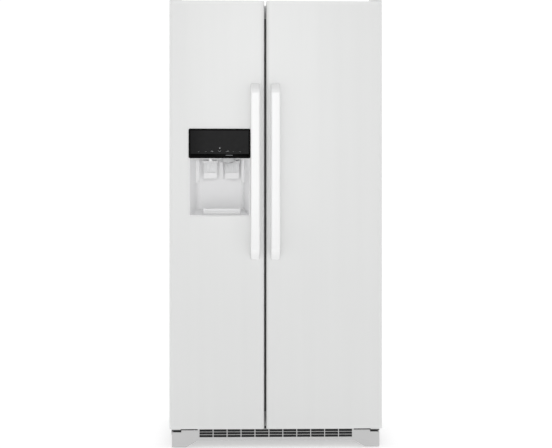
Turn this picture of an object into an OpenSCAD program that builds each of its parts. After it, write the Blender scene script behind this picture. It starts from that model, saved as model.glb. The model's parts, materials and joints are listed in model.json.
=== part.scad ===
// Side by side refrigerator with an ice and water dispenser in the freezer door.
// Front faces -Y, +X is to the right seen from the front, +Z is up.
// The origin is on the floor under the middle of the whole appliance. Millimetres.

/* [Doors] */
// Width across both doors
doors_w = 838; // [836:1:842]
// Height of the door tops above the floor
door_top = 1756; // [1754:1:1760]
// Height of the door bottoms above the floor
door_bottom = 76; // [75:1:78]
// Front face of the doors
door_front = -385; // [-387:1:-383]
// Middle of the gap between the doors
gap_x = -42; // [-43:1:-41]
// Width of the gap between the doors
door_gap = 8; // [6:1:8]
// Radius of the rounded front edges of the doors
door_edge_r = 14; // [8:1:18]
/* [Handles] */
// Width of a handle bar
handle_w = 35; // [28:1:40]
// Lower end of the handles
handle_bottom = 739; // [700:1:760]
// Upper end of the handles
handle_top = 1433; // [1380:1:1460]
// Distance from the middle of the gap to the middle of a handle
handle_off = 39.5; // [38:0.5:44]
/* [Dispenser] */
// Left edge of the dispenser opening
disp_left = -342; // [-342:1:-340]
// Right edge of the dispenser opening
disp_right = -101; // [-103:1:-101]
// Bottom of the dispenser opening
disp_bottom = 911; // [909:1:914]
// Height where the recess ends and the control panel begins
disp_split = 1140; // [1138:1:1142]
// Top of the control panel
disp_top = 1253; // [1250:1:1256]
// Depth of the recess
recess_d = 95; // [85:1:95]
/* [Cabinet] */
// Width of the cabinet
cab_w = 832; // [830:1:834]
// Height of the cabinet top
cab_top = 1751; // [1748:1:1752]
// Front face of the cabinet
cab_front = -305; // [-305:1:-303]
// Rear face of the cabinet
cab_rear = 425; // [425:1:430]
/* [Feet and rollers] */
// Radius of the rear rollers
rear_roller_r = 22; // [20:1:24]
// Radius of the front rollers
front_roller_r = 19; // [16:1:19]
// Radius of a levelling foot's pad
foot_r = 17; // [14:1:18]

/* [Hidden] */
$fn = 48;

white = [0.93, 0.93, 0.92];
liner_white = [0.90, 0.91, 0.91];
grey = [0.62, 0.63, 0.64];
dark = [0.12, 0.12, 0.13];
steel = [0.70, 0.71, 0.73];
foam_tan = [0.86, 0.80, 0.60];
clear_blue = [0.75, 0.85, 0.90, 0.45];

eps = 0.5;               // how far a cutter runs past the face it cuts
skin = 1.2;              // sheet steel of the door skins
sheet = 1;               // sheet steel of the cabinet
liner_t = 2;             // moulded liner of the cabinet
cap_h = 12;              // door end caps
door_back = door_front + 68;
door_liner_t = 2.5;
pivot_x = 399;           // hinge axes are at plus and minus this
pivot_y = door_front + 43;
pin_r = 5;
pin_clear = 0.1;

// Each door as [left edge, right edge]
freezer_door_x = [-doors_w / 2, gap_x - door_gap / 2];
fridge_door_x = [gap_x + door_gap / 2, doors_w / 2];

// Food compartments
freezer_x = [-374, -72];
fridge_x = [-12, 374];
room_z = [134, 1696];
room_rear = 345;         // rear wall above the step
step_z = 345;            // height of the step over the machine room
step_rear = 175;         // rear wall below the step
machine_front = 215;
machine_top = 300;
pan_z = 62;              // underside of the cabinet

// Dikes are the ribs on a door's inner face that hold its bins
dike_t = 14;
dike_back = -262;
bin_back = -215;
freezer_dike_x = [-354, -92];
fridge_dike_x = [4, 354];
dike_z = [150, 1668];

// The hollow behind the dispenser
bay_x = [disp_left - 6, disp_right + 6];
bay_z = [889, 1277];
bay_wall = 2.5;

drawer_front = -165;
shelf_front = -190;

// ---------- helpers ----------

// A box from its limits along X, Y and Z
module block(x, y, z) {
    translate([x[0], y[0], z[0]]) cube([x[1] - x[0], y[1] - y[0], z[1] - z[0]]);
}

// A rectangle with round corners
module round_rect(x, y, r) {
    translate([x[0] + r, y[0]]) square([x[1] - x[0] - 2 * r, y[1] - y[0]]);
    translate([x[0], y[0] + r]) square([x[1] - x[0], y[1] - y[0] - 2 * r]);
    for (cx = [x[0] + r, x[1] - r], cy = [y[0] + r, y[1] - r])
        translate([cx, cy]) circle(r);
}

// An upright box with round vertical edges
module round_block(x, y, z, r) {
    translate([0, 0, z[0]]) linear_extrude(z[1] - z[0]) round_rect(x, y, r);
}

// A box standing on its front face, round in the XZ plane
module front_block(x, y, z, r) {
    translate([0, y[1], 0]) rotate([90, 0, 0])
        linear_extrude(y[1] - y[0]) round_rect(x, z, r);
}

// A round bar from start along an axis: "x", "y" or "z"
module bar(start, length, r, axis) {
    turn = axis == "x" ? [0, 90, 0] : axis == "y" ? [-90, 0, 0] : [0, 0, 0];
    translate(start) rotate(turn) cylinder(r = r, h = length);
}

// A copy on each side of the middle plane
module both_sides() {
    children();
    mirror([1, 0, 0]) children();
}

// Plan of a door: square at the back, rounded at the front, drawn inset from its outline
module door_plan(x, inset) {
    r = door_edge_r - inset;
    x0 = x[0] + inset;
    x1 = x[1] - inset;
    y0 = door_front + inset;
    translate([x0, y0 + r]) square([x1 - x0, door_back - y0 - r]);
    translate([x0 + r, y0]) square([x1 - x0 - 2 * r, r + 1]);
    for (cx = [x0 + r, x1 - r]) translate([cx, y0 + r]) circle(r);
}

// An open box with walls of thickness t
module tub(x, y, z, t, r) {
    difference() {
        round_block(x, y, z, r);
        round_block([x[0] + t, x[1] - t], [y[0] + t, y[1] - t], [z[0] + t, z[1] + eps],
            max(r - t, 0.5));
    }
}

// ---------- doors ----------

// Outer skin of a door: a steel pan, open at the back
module door_skin(x) {
    translate([0, 0, door_bottom + cap_h])
        linear_extrude(door_top - door_bottom - 2 * cap_h) difference() {
            door_plan(x, 0);
            intersection() {
                door_plan(x, skin);
                translate([x[0], door_front]) square([x[1] - x[0], 100]);
            }
        }
}

// The window in the freezer door's front for the dispenser
module dispenser_window() {
    block([disp_left, disp_right], [door_front - eps, door_front + 20],
        [disp_bottom, disp_top]);
}

module freezer_door_panel() {
    color(white) difference() {
        door_skin(freezer_door_x);
        dispenser_window();
    }
}

module fridge_door_panel() {
    color(white) door_skin(fridge_door_x);
}

// Foam that fills a door between its skin and its liner
module door_foam(x) {
    translate([0, 0, door_bottom + cap_h])
        linear_extrude(door_top - door_bottom - 2 * cap_h) intersection() {
            door_plan(x, skin);
            translate([x[0], door_front])
                square([x[1] - x[0], door_back - door_liner_t - door_front]);
        }
}

module freezer_door_foam() {
    color(foam_tan) difference() {
        door_foam(freezer_door_x);
        block(bay_x, [door_front - 1, door_back], bay_z);
    }
}

module fridge_door_foam() {
    color(foam_tan) door_foam(fridge_door_x);
}

// Inner face of a door: a flat sheet with a ring of dikes
module door_inner(x, dike_x) {
    block([x[0] + skin, x[1] - skin], [door_back - door_liner_t, door_back],
        [door_bottom + cap_h, door_top - cap_h]);
    difference() {
        front_block(dike_x, [door_back - 1, dike_back], dike_z, 30);
        front_block([dike_x[0] + dike_t, dike_x[1] - dike_t], [door_back - 2, dike_back + 1],
            [dike_z[0] + dike_t, dike_z[1] - dike_t], 16);
    }
}

ice_port_x = -190;
ice_port_z = 1234;

// The freezer door's liner bulges round the dispenser and has a port for the ice
module freezer_door_liner() {
    color(liner_white) difference() {
        union() {
            door_inner(freezer_door_x, freezer_dike_x);
            block([bay_x[0] - bay_wall, bay_x[1] + bay_wall], [door_back - 1, dike_back],
                [bay_z[0] - bay_wall, bay_z[1] + bay_wall]);
        }
        block(bay_x, [door_back - 10, dike_back - bay_wall], bay_z);
        bar([ice_port_x, dike_back - 10, ice_port_z], 20, duct_r, "y");
    }
    color(liner_white) flap_cheeks();
}

module fridge_door_liner() {
    color(liner_white) door_inner(fridge_door_x, fridge_dike_x);
}

gasket_w = 16;
gasket_back = cab_front - 0.5;

// Magnetic gasket: a rubber frame with a hollow groove along its outer side
module gasket(x, z) {
    difference() {
        block(x, [door_back, gasket_back], z);
        block([x[0] + gasket_w, x[1] - gasket_w], [door_back - 1, gasket_back + 1],
            [z[0] + gasket_w, z[1] - gasket_w]);
        difference() {
            block([x[0] - 1, x[1] + 1], [door_back + 4, gasket_back - 4], [z[0] - 1, z[1] + 1]);
            block([x[0] + 4, x[1] - 4], [door_back + 3, gasket_back - 3], [z[0] + 4, z[1] - 4]);
        }
    }
}

gasket_z = [106, 1726];
module freezer_door_gasket() {
    color(grey) gasket([-pivot_x + 3, gap_x - 8], gasket_z);
}

module fridge_door_gasket() {
    color(grey) gasket([gap_x + 8, pivot_x - 3], gasket_z);
}

// Plastic caps that close the top and bottom of a door, with the hinge sockets
module door_caps(x, side) {
    for (z = [door_bottom, door_top - cap_h]) difference() {
        translate([0, 0, z]) linear_extrude(cap_h) door_plan(x, 0);
        translate([side * pivot_x, pivot_y, z - 1])
            cylinder(r = pin_r + pin_clear, h = cap_h + 2);
    }
}

module freezer_door_caps() {
    color(white) door_caps(freezer_door_x, -1);
}

module fridge_door_caps() {
    color(white) door_caps(fridge_door_x, 1);
}

handle_front = -443;
handle_t = 13;
handle_bow = 46;         // length of the curve at each end of a handle

// Distance of the handle's outer face from the door at a height z
function bow(u) = sin(90 * min(u, 1));
function handle_y(z, depth) =
    door_front - depth * bow(min(z - handle_bottom, handle_top - z) / handle_bow);
handle_steps = 10;
handle_rise = door_front - handle_front;
handle_end_z = concat(
    [for (i = [0:handle_steps]) handle_bottom + handle_bow * i / handle_steps],
    [for (i = [0:handle_steps]) handle_top - handle_bow * (1 - i / handle_steps)]);

// A bowed bar, seen from the side, with a foot against the door at each end
module handle(x) {
    outer = [for (z = handle_end_z) [handle_y(z, handle_rise), z]];
    foot = 22;
    inner_z = [for (i = [2 * handle_steps + 1:-1:0]) handle_end_z[i]];
    mid = (handle_bottom + handle_top) / 2;
    half = (handle_top - handle_bottom) / 2;
    inner = [for (z = inner_z) let (zz = mid + (z - mid) * (half - foot) / half)
        [door_front - (handle_rise - handle_t)
            * bow(min(zz - handle_bottom - foot, handle_top - foot - zz) / handle_bow), zz]];
    translate([x - handle_w / 2, 0, 0]) rotate([90, 0, 90])
        linear_extrude(handle_w) polygon(concat(outer, inner));
}

module freezer_handle() {
    color(white) handle(gap_x - handle_off);
}

module fridge_handle() {
    color(white) handle(gap_x + handle_off);
}

freezer_bin_z = [190, 420, 650, 1300, 1480];
fridge_bin_z = [190, 450, 710, 970, 1230];
// An open door bin
module door_bin(x, z, h) {
    tub(x, [door_back, bin_back], [z, z + h], 2.5, 8);
}

module freezer_door_bins() {
    x = [freezer_dike_x[0] + dike_t, freezer_dike_x[1] - dike_t];
    color(clear_blue) for (z = freezer_bin_z) door_bin(x, z, 90);
}

module fridge_door_bins() {
    x = [fridge_dike_x[0] + dike_t, fridge_dike_x[1] - dike_t];
    color(clear_blue) for (z = fridge_bin_z) door_bin(x, z, 100);
}

dairy_z = [1480, 1630];
dairy_back = -228;
lid_y = -222;
lid_z = 1618;
lid_pin_r = 3;

// Dairy box: open towards the food, with cheeks that carry the lid's pins
module dairy_box() {
    x = [fridge_dike_x[0] + dike_t, fridge_dike_x[1] - dike_t];
    color(clear_blue) difference() {
        union() {
            difference() {
                block(x, [door_back, dairy_back], dairy_z);
                block([x[0] + 3, x[1] - 3], [door_back + 3, dairy_back + 1],
                    [dairy_z[0] + 3, dairy_z[1] - 3]);
            }
            for (cx = [x[0], x[1] - 3])
                block([cx, cx + 3], [dairy_back - 1, bin_back], [lid_z - 8, lid_z + 8]);
        }
        bar([x[0] - 1, lid_y, lid_z], x[1] - x[0] + 2, lid_pin_r + pin_clear, "x");
    }
}

module dairy_lid() {
    x = [fridge_dike_x[0] + dike_t, fridge_dike_x[1] - dike_t];
    color(clear_blue) {
        bar([x[0] + 0.3, lid_y, lid_z], x[1] - x[0] - 0.6, lid_pin_r, "x");
        block([x[0] + 4, x[1] - 4], [lid_y - 2, lid_y + 1.5], [dairy_z[0] + 6, lid_z]);
        block([179 - 40, 179 + 40], [lid_y + 1, lid_y + 7], [dairy_z[0] + 6, dairy_z[0] + 12]);
    }
}

// ---------- dispenser ----------

recess_back = door_front + recess_d;
recess_taper = 25;       // how far each side wall leans in towards the back
wall_t = 2.5;
chute_x = -190;
chute_y = -338;
pocket_d = 14;           // depth of the pocket behind the control panel

// Half the plan of the recess from its front edge to the middle of its back wall, with a
// round rear corner. side is -1 on the left and 1 on the right, t grows the outline.
function recess_edge(side, t, front) =
    let (
        edge = side < 0 ? disp_left + 0.5 : disp_right - 0.5,
        lean = atan(recess_taper / recess_d),
        r = recess_corner_r + t,
        wall_x = edge + side * (t - wall_t),
        corner_x = wall_x - side * recess_taper,
        centre_y = recess_back + t - r,
        centre_x = corner_x + side * (r * tan(lean) - r / cos(lean))
    )
    concat([[wall_x, front]], [for (i = [0:recess_corner_steps])
        let (a = lean + (90 - lean) * i / recess_corner_steps)
            [centre_x + side * r * cos(a), centre_y + r * sin(a)]]);

recess_corner_r = 18;
recess_corner_steps = 8;

// Plan of the recess, grown by t
module recess_plan(t, front) {
    left = recess_edge(-1, t, front);
    right = recess_edge(1, t, front);
    polygon(concat(left, [for (i = [len(right) - 1:-1:0]) right[i]]));
}

module dispenser_housing() {
    front = door_front - 0.5;
    z = [disp_bottom + 0.5, disp_top - 0.5];
    color(grey) difference() {
        union() {
            translate([0, 0, z[0]]) linear_extrude(disp_split - z[0])
                recess_plan(wall_t, front);
            block([disp_left + 0.5, disp_right - 0.5], [front, door_front + pocket_d + 2],
                [disp_split - 1, z[1]]);
        }
        translate([0, 0, z[0] + wall_t])
            linear_extrude(disp_split - z[0] - 2 * wall_t) recess_plan(0, front - 1);
        block([disp_left + 3, disp_right - 3], [front - 1, door_front + pocket_d],
            [disp_split + 2, z[1] - wall_t]);
        translate([chute_x, chute_y, disp_split - 10]) cylinder(r = chute_r, h = 20);
        translate([nozzle_x, nozzle_y, disp_split - 10]) cylinder(r = nozzle_r, h = 20);
    }
    // pillar between the paddles, and the cheeks that hold their pins
    color(grey) {
        block([-224, -209], [recess_back - 6, recess_back], [disp_split - 81, disp_split - wall_t]);
        paddle_cheeks(ice_paddle_x, paddle_w);
        paddle_cheeks(water_paddle_x, paddle_w);
        recess_ramps();
        recess_shoulders();
    }
}

// Sloped floor on both sides of the drip tray
module recess_ramps() {
    floor_top = disp_bottom + 0.5 + wall_t;
    difference() {
        intersection() {
            translate([0, 0, floor_top - 1]) linear_extrude(40) recess_plan(0.5, door_front - 0.5);
            side_profile([disp_left, disp_right], [
                [door_front - 0.5, floor_top - 1], [door_front - 0.5, floor_top],
                [recess_back + 1, floor_top + 27], [recess_back + 1, floor_top - 1]
            ]);
        }
        block([tray_x[0] - 0.4, tray_x[1] + 0.4], [door_front - 1, recess_back],
            [floor_top, floor_top + 50]);
    }
}

// Shoulders that narrow the upper part of the recess's back wall
module recess_shoulders() {
    y = [recess_back - 14, recess_back + 1];
    low = disp_split - 103;
    for (side = [[disp_left + 20, disp_left + 39], [disp_right - 20, disp_right - 35]])
        intersection() {
            translate([0, 0, low]) linear_extrude(disp_split - wall_t - low)
                recess_plan(0.5, door_front);
            translate([0, y[1], 0]) rotate([90, 0, 0]) linear_extrude(y[1] - y[0]) polygon([
                [side[0], low], [side[1], low + 18], [side[1], disp_split], [side[0], disp_split]
            ]);
        }
}

panel_front = door_front - 2.6;
panel_inset = 3.3;       // from the window's edge to the part of the panel inside the rim

// Gloss black touch panel: a face plate that covers the housing's rim, and the body behind it
module control_panel() {
    color(dark) {
        front_block([disp_left - 0.5, disp_right + 0.5], [panel_front, door_front - 0.9],
            [disp_split - wall_t, disp_top + 0.5], 6);
        block([disp_left + panel_inset, disp_right - panel_inset], [door_front - 1, door_front + 5],
            [disp_split + 2.3, disp_top - panel_inset]);
        block([disp_left + 10, disp_right - 10], [door_front + 4, door_front + 6.5],
            [disp_split + 14, disp_top - 14]);
    }
}

// Collar round the end of the chute, with an arched lower edge
mouth_r = 31;
module chute_mouth() {
    arch_r = 52;
    intersection() {
        translate([chute_x, chute_y - 4, chute_bottom])
            cylinder(r = mouth_r, h = disp_split - wall_t - chute_bottom);
        translate([chute_x, chute_y - 50, chute_bottom + arch_r]) rotate([-90, 0, 0])
            cylinder(r = arch_r, h = 100, $fn = 96);
    }
}

// Ice chute: a round spout through the recess ceiling, fed from the port in the liner
chute_r = 29;
chute_bottom = 1121;
duct_r = 26;
module ice_chute() {
    color(grey) difference() {
        union() {
            translate([chute_x, chute_y, chute_bottom + 6])
                cylinder(r = chute_r, h = ice_port_z + 24 - chute_bottom);
            bar([chute_x, chute_y, ice_port_z], dike_back - bay_wall - chute_y, chute_r, "y");
            chute_mouth();
        }
        translate([chute_x, chute_y, chute_bottom - 1])
            cylinder(r = duct_r, h = ice_port_z + 28 - chute_bottom);
        bar([chute_x, chute_y, ice_port_z], dike_back - chute_y, duct_r, "y");
    }
}

nozzle_x = -258;
nozzle_y = -335;
nozzle_r = 7;
module water_nozzle() {
    color(grey) difference() {
        union() {
            translate([nozzle_x, nozzle_y, disp_split - 12]) cylinder(r = nozzle_r, h = 30);
            translate([nozzle_x, nozzle_y, disp_split]) cylinder(r = 10, h = 6);
        }
        translate([nozzle_x, nozzle_y, disp_split - 23]) cylinder(r = 3, h = 50);
    }
}

// A paddle hangs from a pin near the top of the recess and is pushed in by a glass
paddle_pin_z = 1129;
paddle_pin_y = -304;
paddle_pin_r = 3;
paddle_drop = 68;
cheek_gap = 1;
cheek_w = 3;
module paddle(x, w) {
    pin_half = w / 2 + cheek_gap + cheek_w;
    bottom = paddle_pin_z - paddle_drop;
    bar([x - pin_half, paddle_pin_y, paddle_pin_z], 2 * pin_half, paddle_pin_r, "x");
    block([x - w / 2, x + w / 2], [paddle_pin_y - 2, paddle_pin_y + 1.5],
        [bottom, paddle_pin_z]);
    front_block([x - w / 2, x + w / 2], [paddle_pin_y - 8, paddle_pin_y - 1],
        [bottom, bottom + 22], 6);
}

// Two cheeks under the recess ceiling that hold a paddle's pin
module paddle_cheeks(x, w) {
    for (cx = [x - w / 2 - cheek_gap - cheek_w, x + w / 2 + cheek_gap]) difference() {
        block([cx, cx + cheek_w], [paddle_pin_y - 6, paddle_pin_y + 6],
            [paddle_pin_z - 7, disp_split - wall_t]);
        bar([cx - 1, paddle_pin_y, paddle_pin_z], cheek_w + 2, paddle_pin_r + pin_clear, "x");
    }
}

ice_paddle_x = -173;
water_paddle_x = -260;
paddle_w = 54;
module ice_paddle() {
    color(grey) paddle(ice_paddle_x, paddle_w);
}

module water_paddle() {
    color(grey) paddle(water_paddle_x, paddle_w);
}

// Flap over the ice port in the door's liner: it falls open on its lower edge as a ramp
// for the ice when the ice paddle is pushed
flap_r = 34;
flap_t = 3;
flap_pin_z = ice_port_z - flap_r - 4;
flap_pin_y = dike_back + 4;
flap_pin_r = 2.5;
module chute_flap() {
    color(grey) {
        bar([ice_port_x, dike_back + 0.4, ice_port_z], flap_t, flap_r, "y");
        block([ice_port_x - 14, ice_port_x + 14], [dike_back + 0.4, dike_back + 0.4 + flap_t],
            [flap_pin_z, ice_port_z - 20]);
        bar([ice_port_x - 21, flap_pin_y, flap_pin_z], 42, flap_pin_r, "x");
    }
}

// Two cheeks on the liner that hold the flap's pin
module flap_cheeks() {
    for (x = [ice_port_x - 20, ice_port_x + 16]) difference() {
        block([x, x + 4], [dike_back - 1, dike_back + 8], [flap_pin_z - 5, flap_pin_z + 5]);
        bar([x - 2, flap_pin_y, flap_pin_z], 8, flap_pin_r + pin_clear, "x");
    }
}

// Tray that catches drips, with a slotted top
tray_x = [disp_left + 56, disp_right - 38];
module drip_tray() {
    y = [door_front + 10, recess_back - 4];
    z = [disp_bottom + 3.4, disp_bottom + 29];
    color(grey) difference() {
        block(tray_x, y, z);
        block([tray_x[0] + 2.5, tray_x[1] - 2.5], [y[0] + 6, y[1] - 2.5], [z[0] + 3, z[1] - 3]);
        // finger groove under the front lip
        block([tray_x[0] - 1, tray_x[1] + 1], [y[0] - 1, y[0] + 3.5], [z[1] - 10, z[1] - 4]);
        for (i = [0:8]) block([tray_x[0] + 10 + i * 14.5, tray_x[0] + 17 + i * 14.5],
            [y[0] + 14, y[1] - 14], [z[1] - 5, z[1] + 1]);
    }
}

// ---------- cabinet ----------

// The space of a food compartment, with the step over the machine room, grown by t
module room(x, t, front) {
    block([x[0] - t, x[1] + t], [front, step_rear + t], [room_z[0] - t, room_z[1] + t]);
    block([x[0] - t, x[1] + t], [front, room_rear + t], [step_z - t, room_z[1] + t]);
}

half_cab = cab_w / 2;
module cabinet_wrapper() {
    color(white) {
        difference() {
            block([-half_cab, half_cab], [cab_front, cab_rear], [pan_z, cab_top]);
            block([-half_cab + sheet, half_cab - sheet], [cab_front + sheet, cab_rear + 1],
                [pan_z - 1, cab_top - sheet]);
            block([freezer_x[0] - liner_t, fridge_x[1] + liner_t],
                [cab_front - 1, cab_front + 2],
                [room_z[0] - liner_t, room_z[1] + liner_t]);
        }
    }
}

module mullion_strip() {
    color(white) block([freezer_x[1] + liner_t, fridge_x[0] - liner_t],
        [cab_front, cab_front + sheet], [room_z[0] - liner_t, room_z[1] + liner_t]);
}

module back_panel() {
    color(grey) block([-half_cab + sheet, half_cab - sheet], [cab_rear - sheet, cab_rear],
        [machine_top, cab_top - sheet]);
}

module insulation() {
    color(foam_tan) difference() {
        block([-half_cab + sheet, half_cab - sheet], [cab_front + sheet, cab_rear - sheet],
            [pan_z + sheet, cab_top - sheet]);
        room(freezer_x, liner_t, cab_front - 1);
        room(fridge_x, liner_t, cab_front - 1);
        block([-half_cab, half_cab], [machine_front - sheet, cab_rear], [pan_z, machine_top]);
    }
}

module liner(x) {
    difference() {
        room(x, liner_t, cab_front);
        room(x, 0, cab_front - 1);
    }
}

module freezer_liner() {
    color(liner_white) liner(freezer_x);
}

module fridge_liner() {
    color(liner_white) liner(fridge_x);
}

rail_z = [38, pan_z];
rail_x = [388, 414];
rail_front = cab_front + 1;
front_roller_y = -230;
rear_roller_y = 378;
roller_x = [352, 372];
front_roller_z = front_roller_r + 2;
axle_r = 4;
foot_x = 372;
foot_y = -285;
cheek_t = 3;
front_bar_half = 370;    // half the length of the angle behind the toe grille
side_lap = 8;            // how far the machine room's side plates lap over the rails

// Two cheeks that carry a roller's axle
module roller_fork(y, z) {
    for (x = [roller_x[0] - 1 - cheek_t, roller_x[1] + 1]) difference() {
        block([x, x + cheek_t], [y - 12, y + 12], [z - 9, rail_z[1]]);
        bar([x - 1, y, z], cheek_t + 2, axle_r + pin_clear, "x");
    }
}

// Rails, machine room floor and the stepped pan under the cabinet
module base_frame() {
    color(dark) {
        block([-half_cab + sheet, half_cab - sheet], [cab_front + sheet, machine_front],
            [pan_z, pan_z + sheet]);
        block([-half_cab + sheet, half_cab - sheet], [machine_front - sheet, machine_front],
            [pan_z, machine_top]);
        block([-half_cab + sheet, half_cab - sheet], [machine_front - sheet, cab_rear - sheet],
            [machine_top - sheet, machine_top]);
        block([-rail_x[0], rail_x[0]], [machine_front - 20, cab_rear - 12],
            [rail_z[1] - 14, rail_z[1] - 12]);
        both_sides() {
            // side plate of the machine room, inside the cabinet's skin and lapped over the rail
            block([half_cab - 2 * sheet, half_cab - sheet], [machine_front - sheet, cab_rear - sheet],
                [pan_z - side_lap, machine_top]);
            block(rail_x, [rail_front, cab_rear - 12], rail_z);
            roller_fork(front_roller_y, front_roller_z);
            roller_fork(rear_roller_y, rear_roller_r);
            difference() {
                block([foot_x - 14, rail_x[0] + 1], [foot_y - 14, foot_y + 14],
                    [rail_z[0] + 4, rail_z[1] + 0.5]);
                translate([foot_x, foot_y, 30])
                    cylinder(r = foot_shank_r + pin_clear, h = 31);
            }
        }
        block([-rail_x[0] - 1, rail_x[0] + 1], [rail_front, rail_front + 3],
            [rail_z[0] + 4, rail_z[1] + 0.5]);
        // angle along the cabinet's lower front edge, behind the toe grille
        block([-front_bar_half, front_bar_half], [cab_front - 3, cab_front],
            [rail_z[0] - 8, door_bottom - 2]);
        block([-front_bar_half, front_bar_half], [cab_front - 1, rail_front + 1],
            [rail_z[0] + 6, rail_z[0] + 9]);
    }
}

foot_shank_r = 6;
module foot(x) {
    color(dark) {
        translate([x, foot_y, 0]) cylinder(r = foot_r, h = 8);
        translate([x, foot_y, 7]) cylinder(r = foot_shank_r, h = 44);
        translate([x, foot_y, 8]) cylinder(r = 10, h = 7, $fn = 6);
    }
}

module foot_left() {
    foot(-foot_x);
}

module foot_right() {
    foot(foot_x);
}

// A pair of rollers on one axis line, each on its own stub axle
module rollers(y, z, r) {
    color(dark) both_sides() difference() {
        union() {
            bar([roller_x[0], y, z], roller_x[1] - roller_x[0], r, "x");
            bar([roller_x[0] - 6, y, z], roller_x[1] - roller_x[0] + 12, axle_r, "x");
        }
        for (i = [0:4]) rotate_about([0, y, z], i * 72)
            bar([roller_x[0] - 1, y, z + r * 0.58], 5, r * 0.17, "x");
    }
}

// A turn about the X direction through a point
module rotate_about(p, angle) {
    translate(p) rotate([angle, 0, 0]) translate([-p[0], -p[1], -p[2]]) children();
}

module front_rollers() {
    rollers(front_roller_y, front_roller_z, front_roller_r);
}

module rear_rollers() {
    rollers(rear_roller_y, rear_roller_r, rear_roller_r);
}

hinge_plate_z = door_top + 2;
hinge_block_z = door_bottom - 9;
module door_hinges() {
    color(steel) both_sides() {
        // top hinge: a plate screwed to the cabinet top, with a pin down into the door
        translate([pivot_x, pivot_y, door_top - cap_h + 1])
            cylinder(r = pin_r, h = hinge_plate_z + 4 - (door_top - cap_h + 1));
        round_block([pivot_x - 16, pivot_x + 14], [pivot_y - 14, -235],
            [hinge_plate_z, hinge_plate_z + 4], 6);
        round_block([pivot_x - 16, pivot_x + 14], [cab_front + 6, -235],
            [cab_top, hinge_plate_z + 1], 6);
        for (y = [-285, -252]) translate([pivot_x - 1, y, hinge_plate_z + 3])
            cylinder(r = 6, h = 5, $fn = 6);
        // bottom hinge: an angle bolted to the cabinet's front, with a pin up into the door
        block([pivot_x - 24, pivot_x + 10], [pivot_y - 26, cab_front],
            [hinge_block_z, door_bottom - 3.5]);
        block([pivot_x - 22, pivot_x + 10], [cab_front - 4, cab_front],
            [rail_z[0] + 4, hinge_block_z + 1]);
        translate([pivot_x, pivot_y, hinge_block_z])
            cylinder(r = pin_r, h = door_bottom + cap_h - 1 - hinge_block_z);
        translate([pivot_x, pivot_y, hinge_block_z])
            cylinder(r = 9, h = door_bottom - 0.4 - hinge_block_z);
    }
}

cover_top = door_top + 22;
module hinge_covers() {
    x = [pivot_x - 24, doors_w / 2];
    color(white) both_sides() difference() {
        round_block(x, [pivot_y - 28, -222], [hinge_plate_z, cover_top], 10);
        round_block([x[0] + 2.5, x[1] - 2.5], [pivot_y - 25.5, -224.5],
            [hinge_plate_z - 1, cover_top - 2.5], 7.5);
    }
    color(white) both_sides()
        difference() {
            round_block([pivot_x - 24, half_cab - 1], [cab_front + 1, -222], [cab_top, hinge_plate_z], 3);
            round_block([pivot_x - 21, half_cab - 2], [cab_front + 3, -224.5],
                [cab_top - 1, hinge_plate_z + 1], 3);
        }
}

// ---------- kick plate ----------

kick_front = -370;
kick_t = 3;
kick_half = 409;
slot_half = 302;
bay_count = 11;
slat = 1.6;
// Toe grille: three rows of slots, and ends that reach down to the floor
module kick_plate() {
    top = door_bottom - 2;
    side_top = door_bottom - 7;
    corner_top = hinge_block_z - 6;
    slot_h = 9.2;
    rib = 3;
    pitch = 2 * slot_half / bay_count;
    low_slot = top - 2 - 3 * slot_h - 2 * slat;
    band = 14;               // solid band under the slots
    low_edge = low_slot - band;
    outline = [
        [kick_half, 2], [352, 2], [309, low_edge], [-309, low_edge], [-352, 2], [-kick_half, 2],
        [-kick_half, corner_top], [-372, corner_top], [-372, side_top],
        [-slot_half - 6, side_top], [-slot_half - 6, top], [slot_half + 6, top],
        [slot_half + 6, side_top], [372, side_top], [372, corner_top], [kick_half, corner_top]
    ];
    color(grey) {
        difference() {
            translate([0, kick_front + kick_t, 0]) rotate([90, 0, 0])
                linear_extrude(kick_t) polygon(outline);
            for (row = [0:2], bay = [0:bay_count - 1])
                block([-slot_half + bay * pitch + rib / 2, -slot_half + (bay + 1) * pitch - rib / 2],
                    [kick_front - 1, kick_front + kick_t + 1],
                    [low_slot + row * (slot_h + slat), low_slot + row * (slot_h + slat) + slot_h]);
        }
        // returns along the ends, the lower edge, and arms that clip to the base frame
        for (x = [-kick_half, kick_half - kick_t])
            block([x, x + kick_t], [kick_front + 1, kick_front + 34], [2, corner_top]);
        block([-309, 309], [kick_front + 1, kick_front + 30], [low_edge, low_edge + 2]);
        for (x = [-326, 320]) block([x, x + 6], [kick_front + 1, cab_front - 3.4], [44, 60]);
    }
}

// ---------- inside the freezer ----------

cover_y = [255, 258];
evap_fan_x = -223;
evap_fan_z = 1120;
module evaporator_cover() {
    color(liner_white) difference() {
        union() {
            block(freezer_x, cover_y, [step_z + 60, 1240]);
            for (dx = [-78, 70]) block([evap_fan_x + dx, evap_fan_x + dx + 8],
                [cover_y[1] - 1, 300], [evap_fan_z - 6, evap_fan_z + 6]);
            block([evap_fan_x - 78, evap_fan_x + 78], [297, 300],
                [evap_fan_z - 6, evap_fan_z + 6]);
            bar([evap_fan_x, 290, evap_fan_z], 30, 19, "y");
        }
        bar([evap_fan_x, 285, evap_fan_z], 20, axle_r + pin_clear, "y");
        for (i = [-5:5]) block([evap_fan_x + i * 11 - 3, evap_fan_x + i * 11 + 3],
            [cover_y[0] - 1, cover_y[1] + 1], [evap_fan_z - 45, evap_fan_z + 45]);
        for (i = [0:7]) block([-340, -106], [cover_y[0] - 1, cover_y[1] + 1],
            [step_z + 74 + i * 14, step_z + 80 + i * 14]);
    }
}

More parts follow.
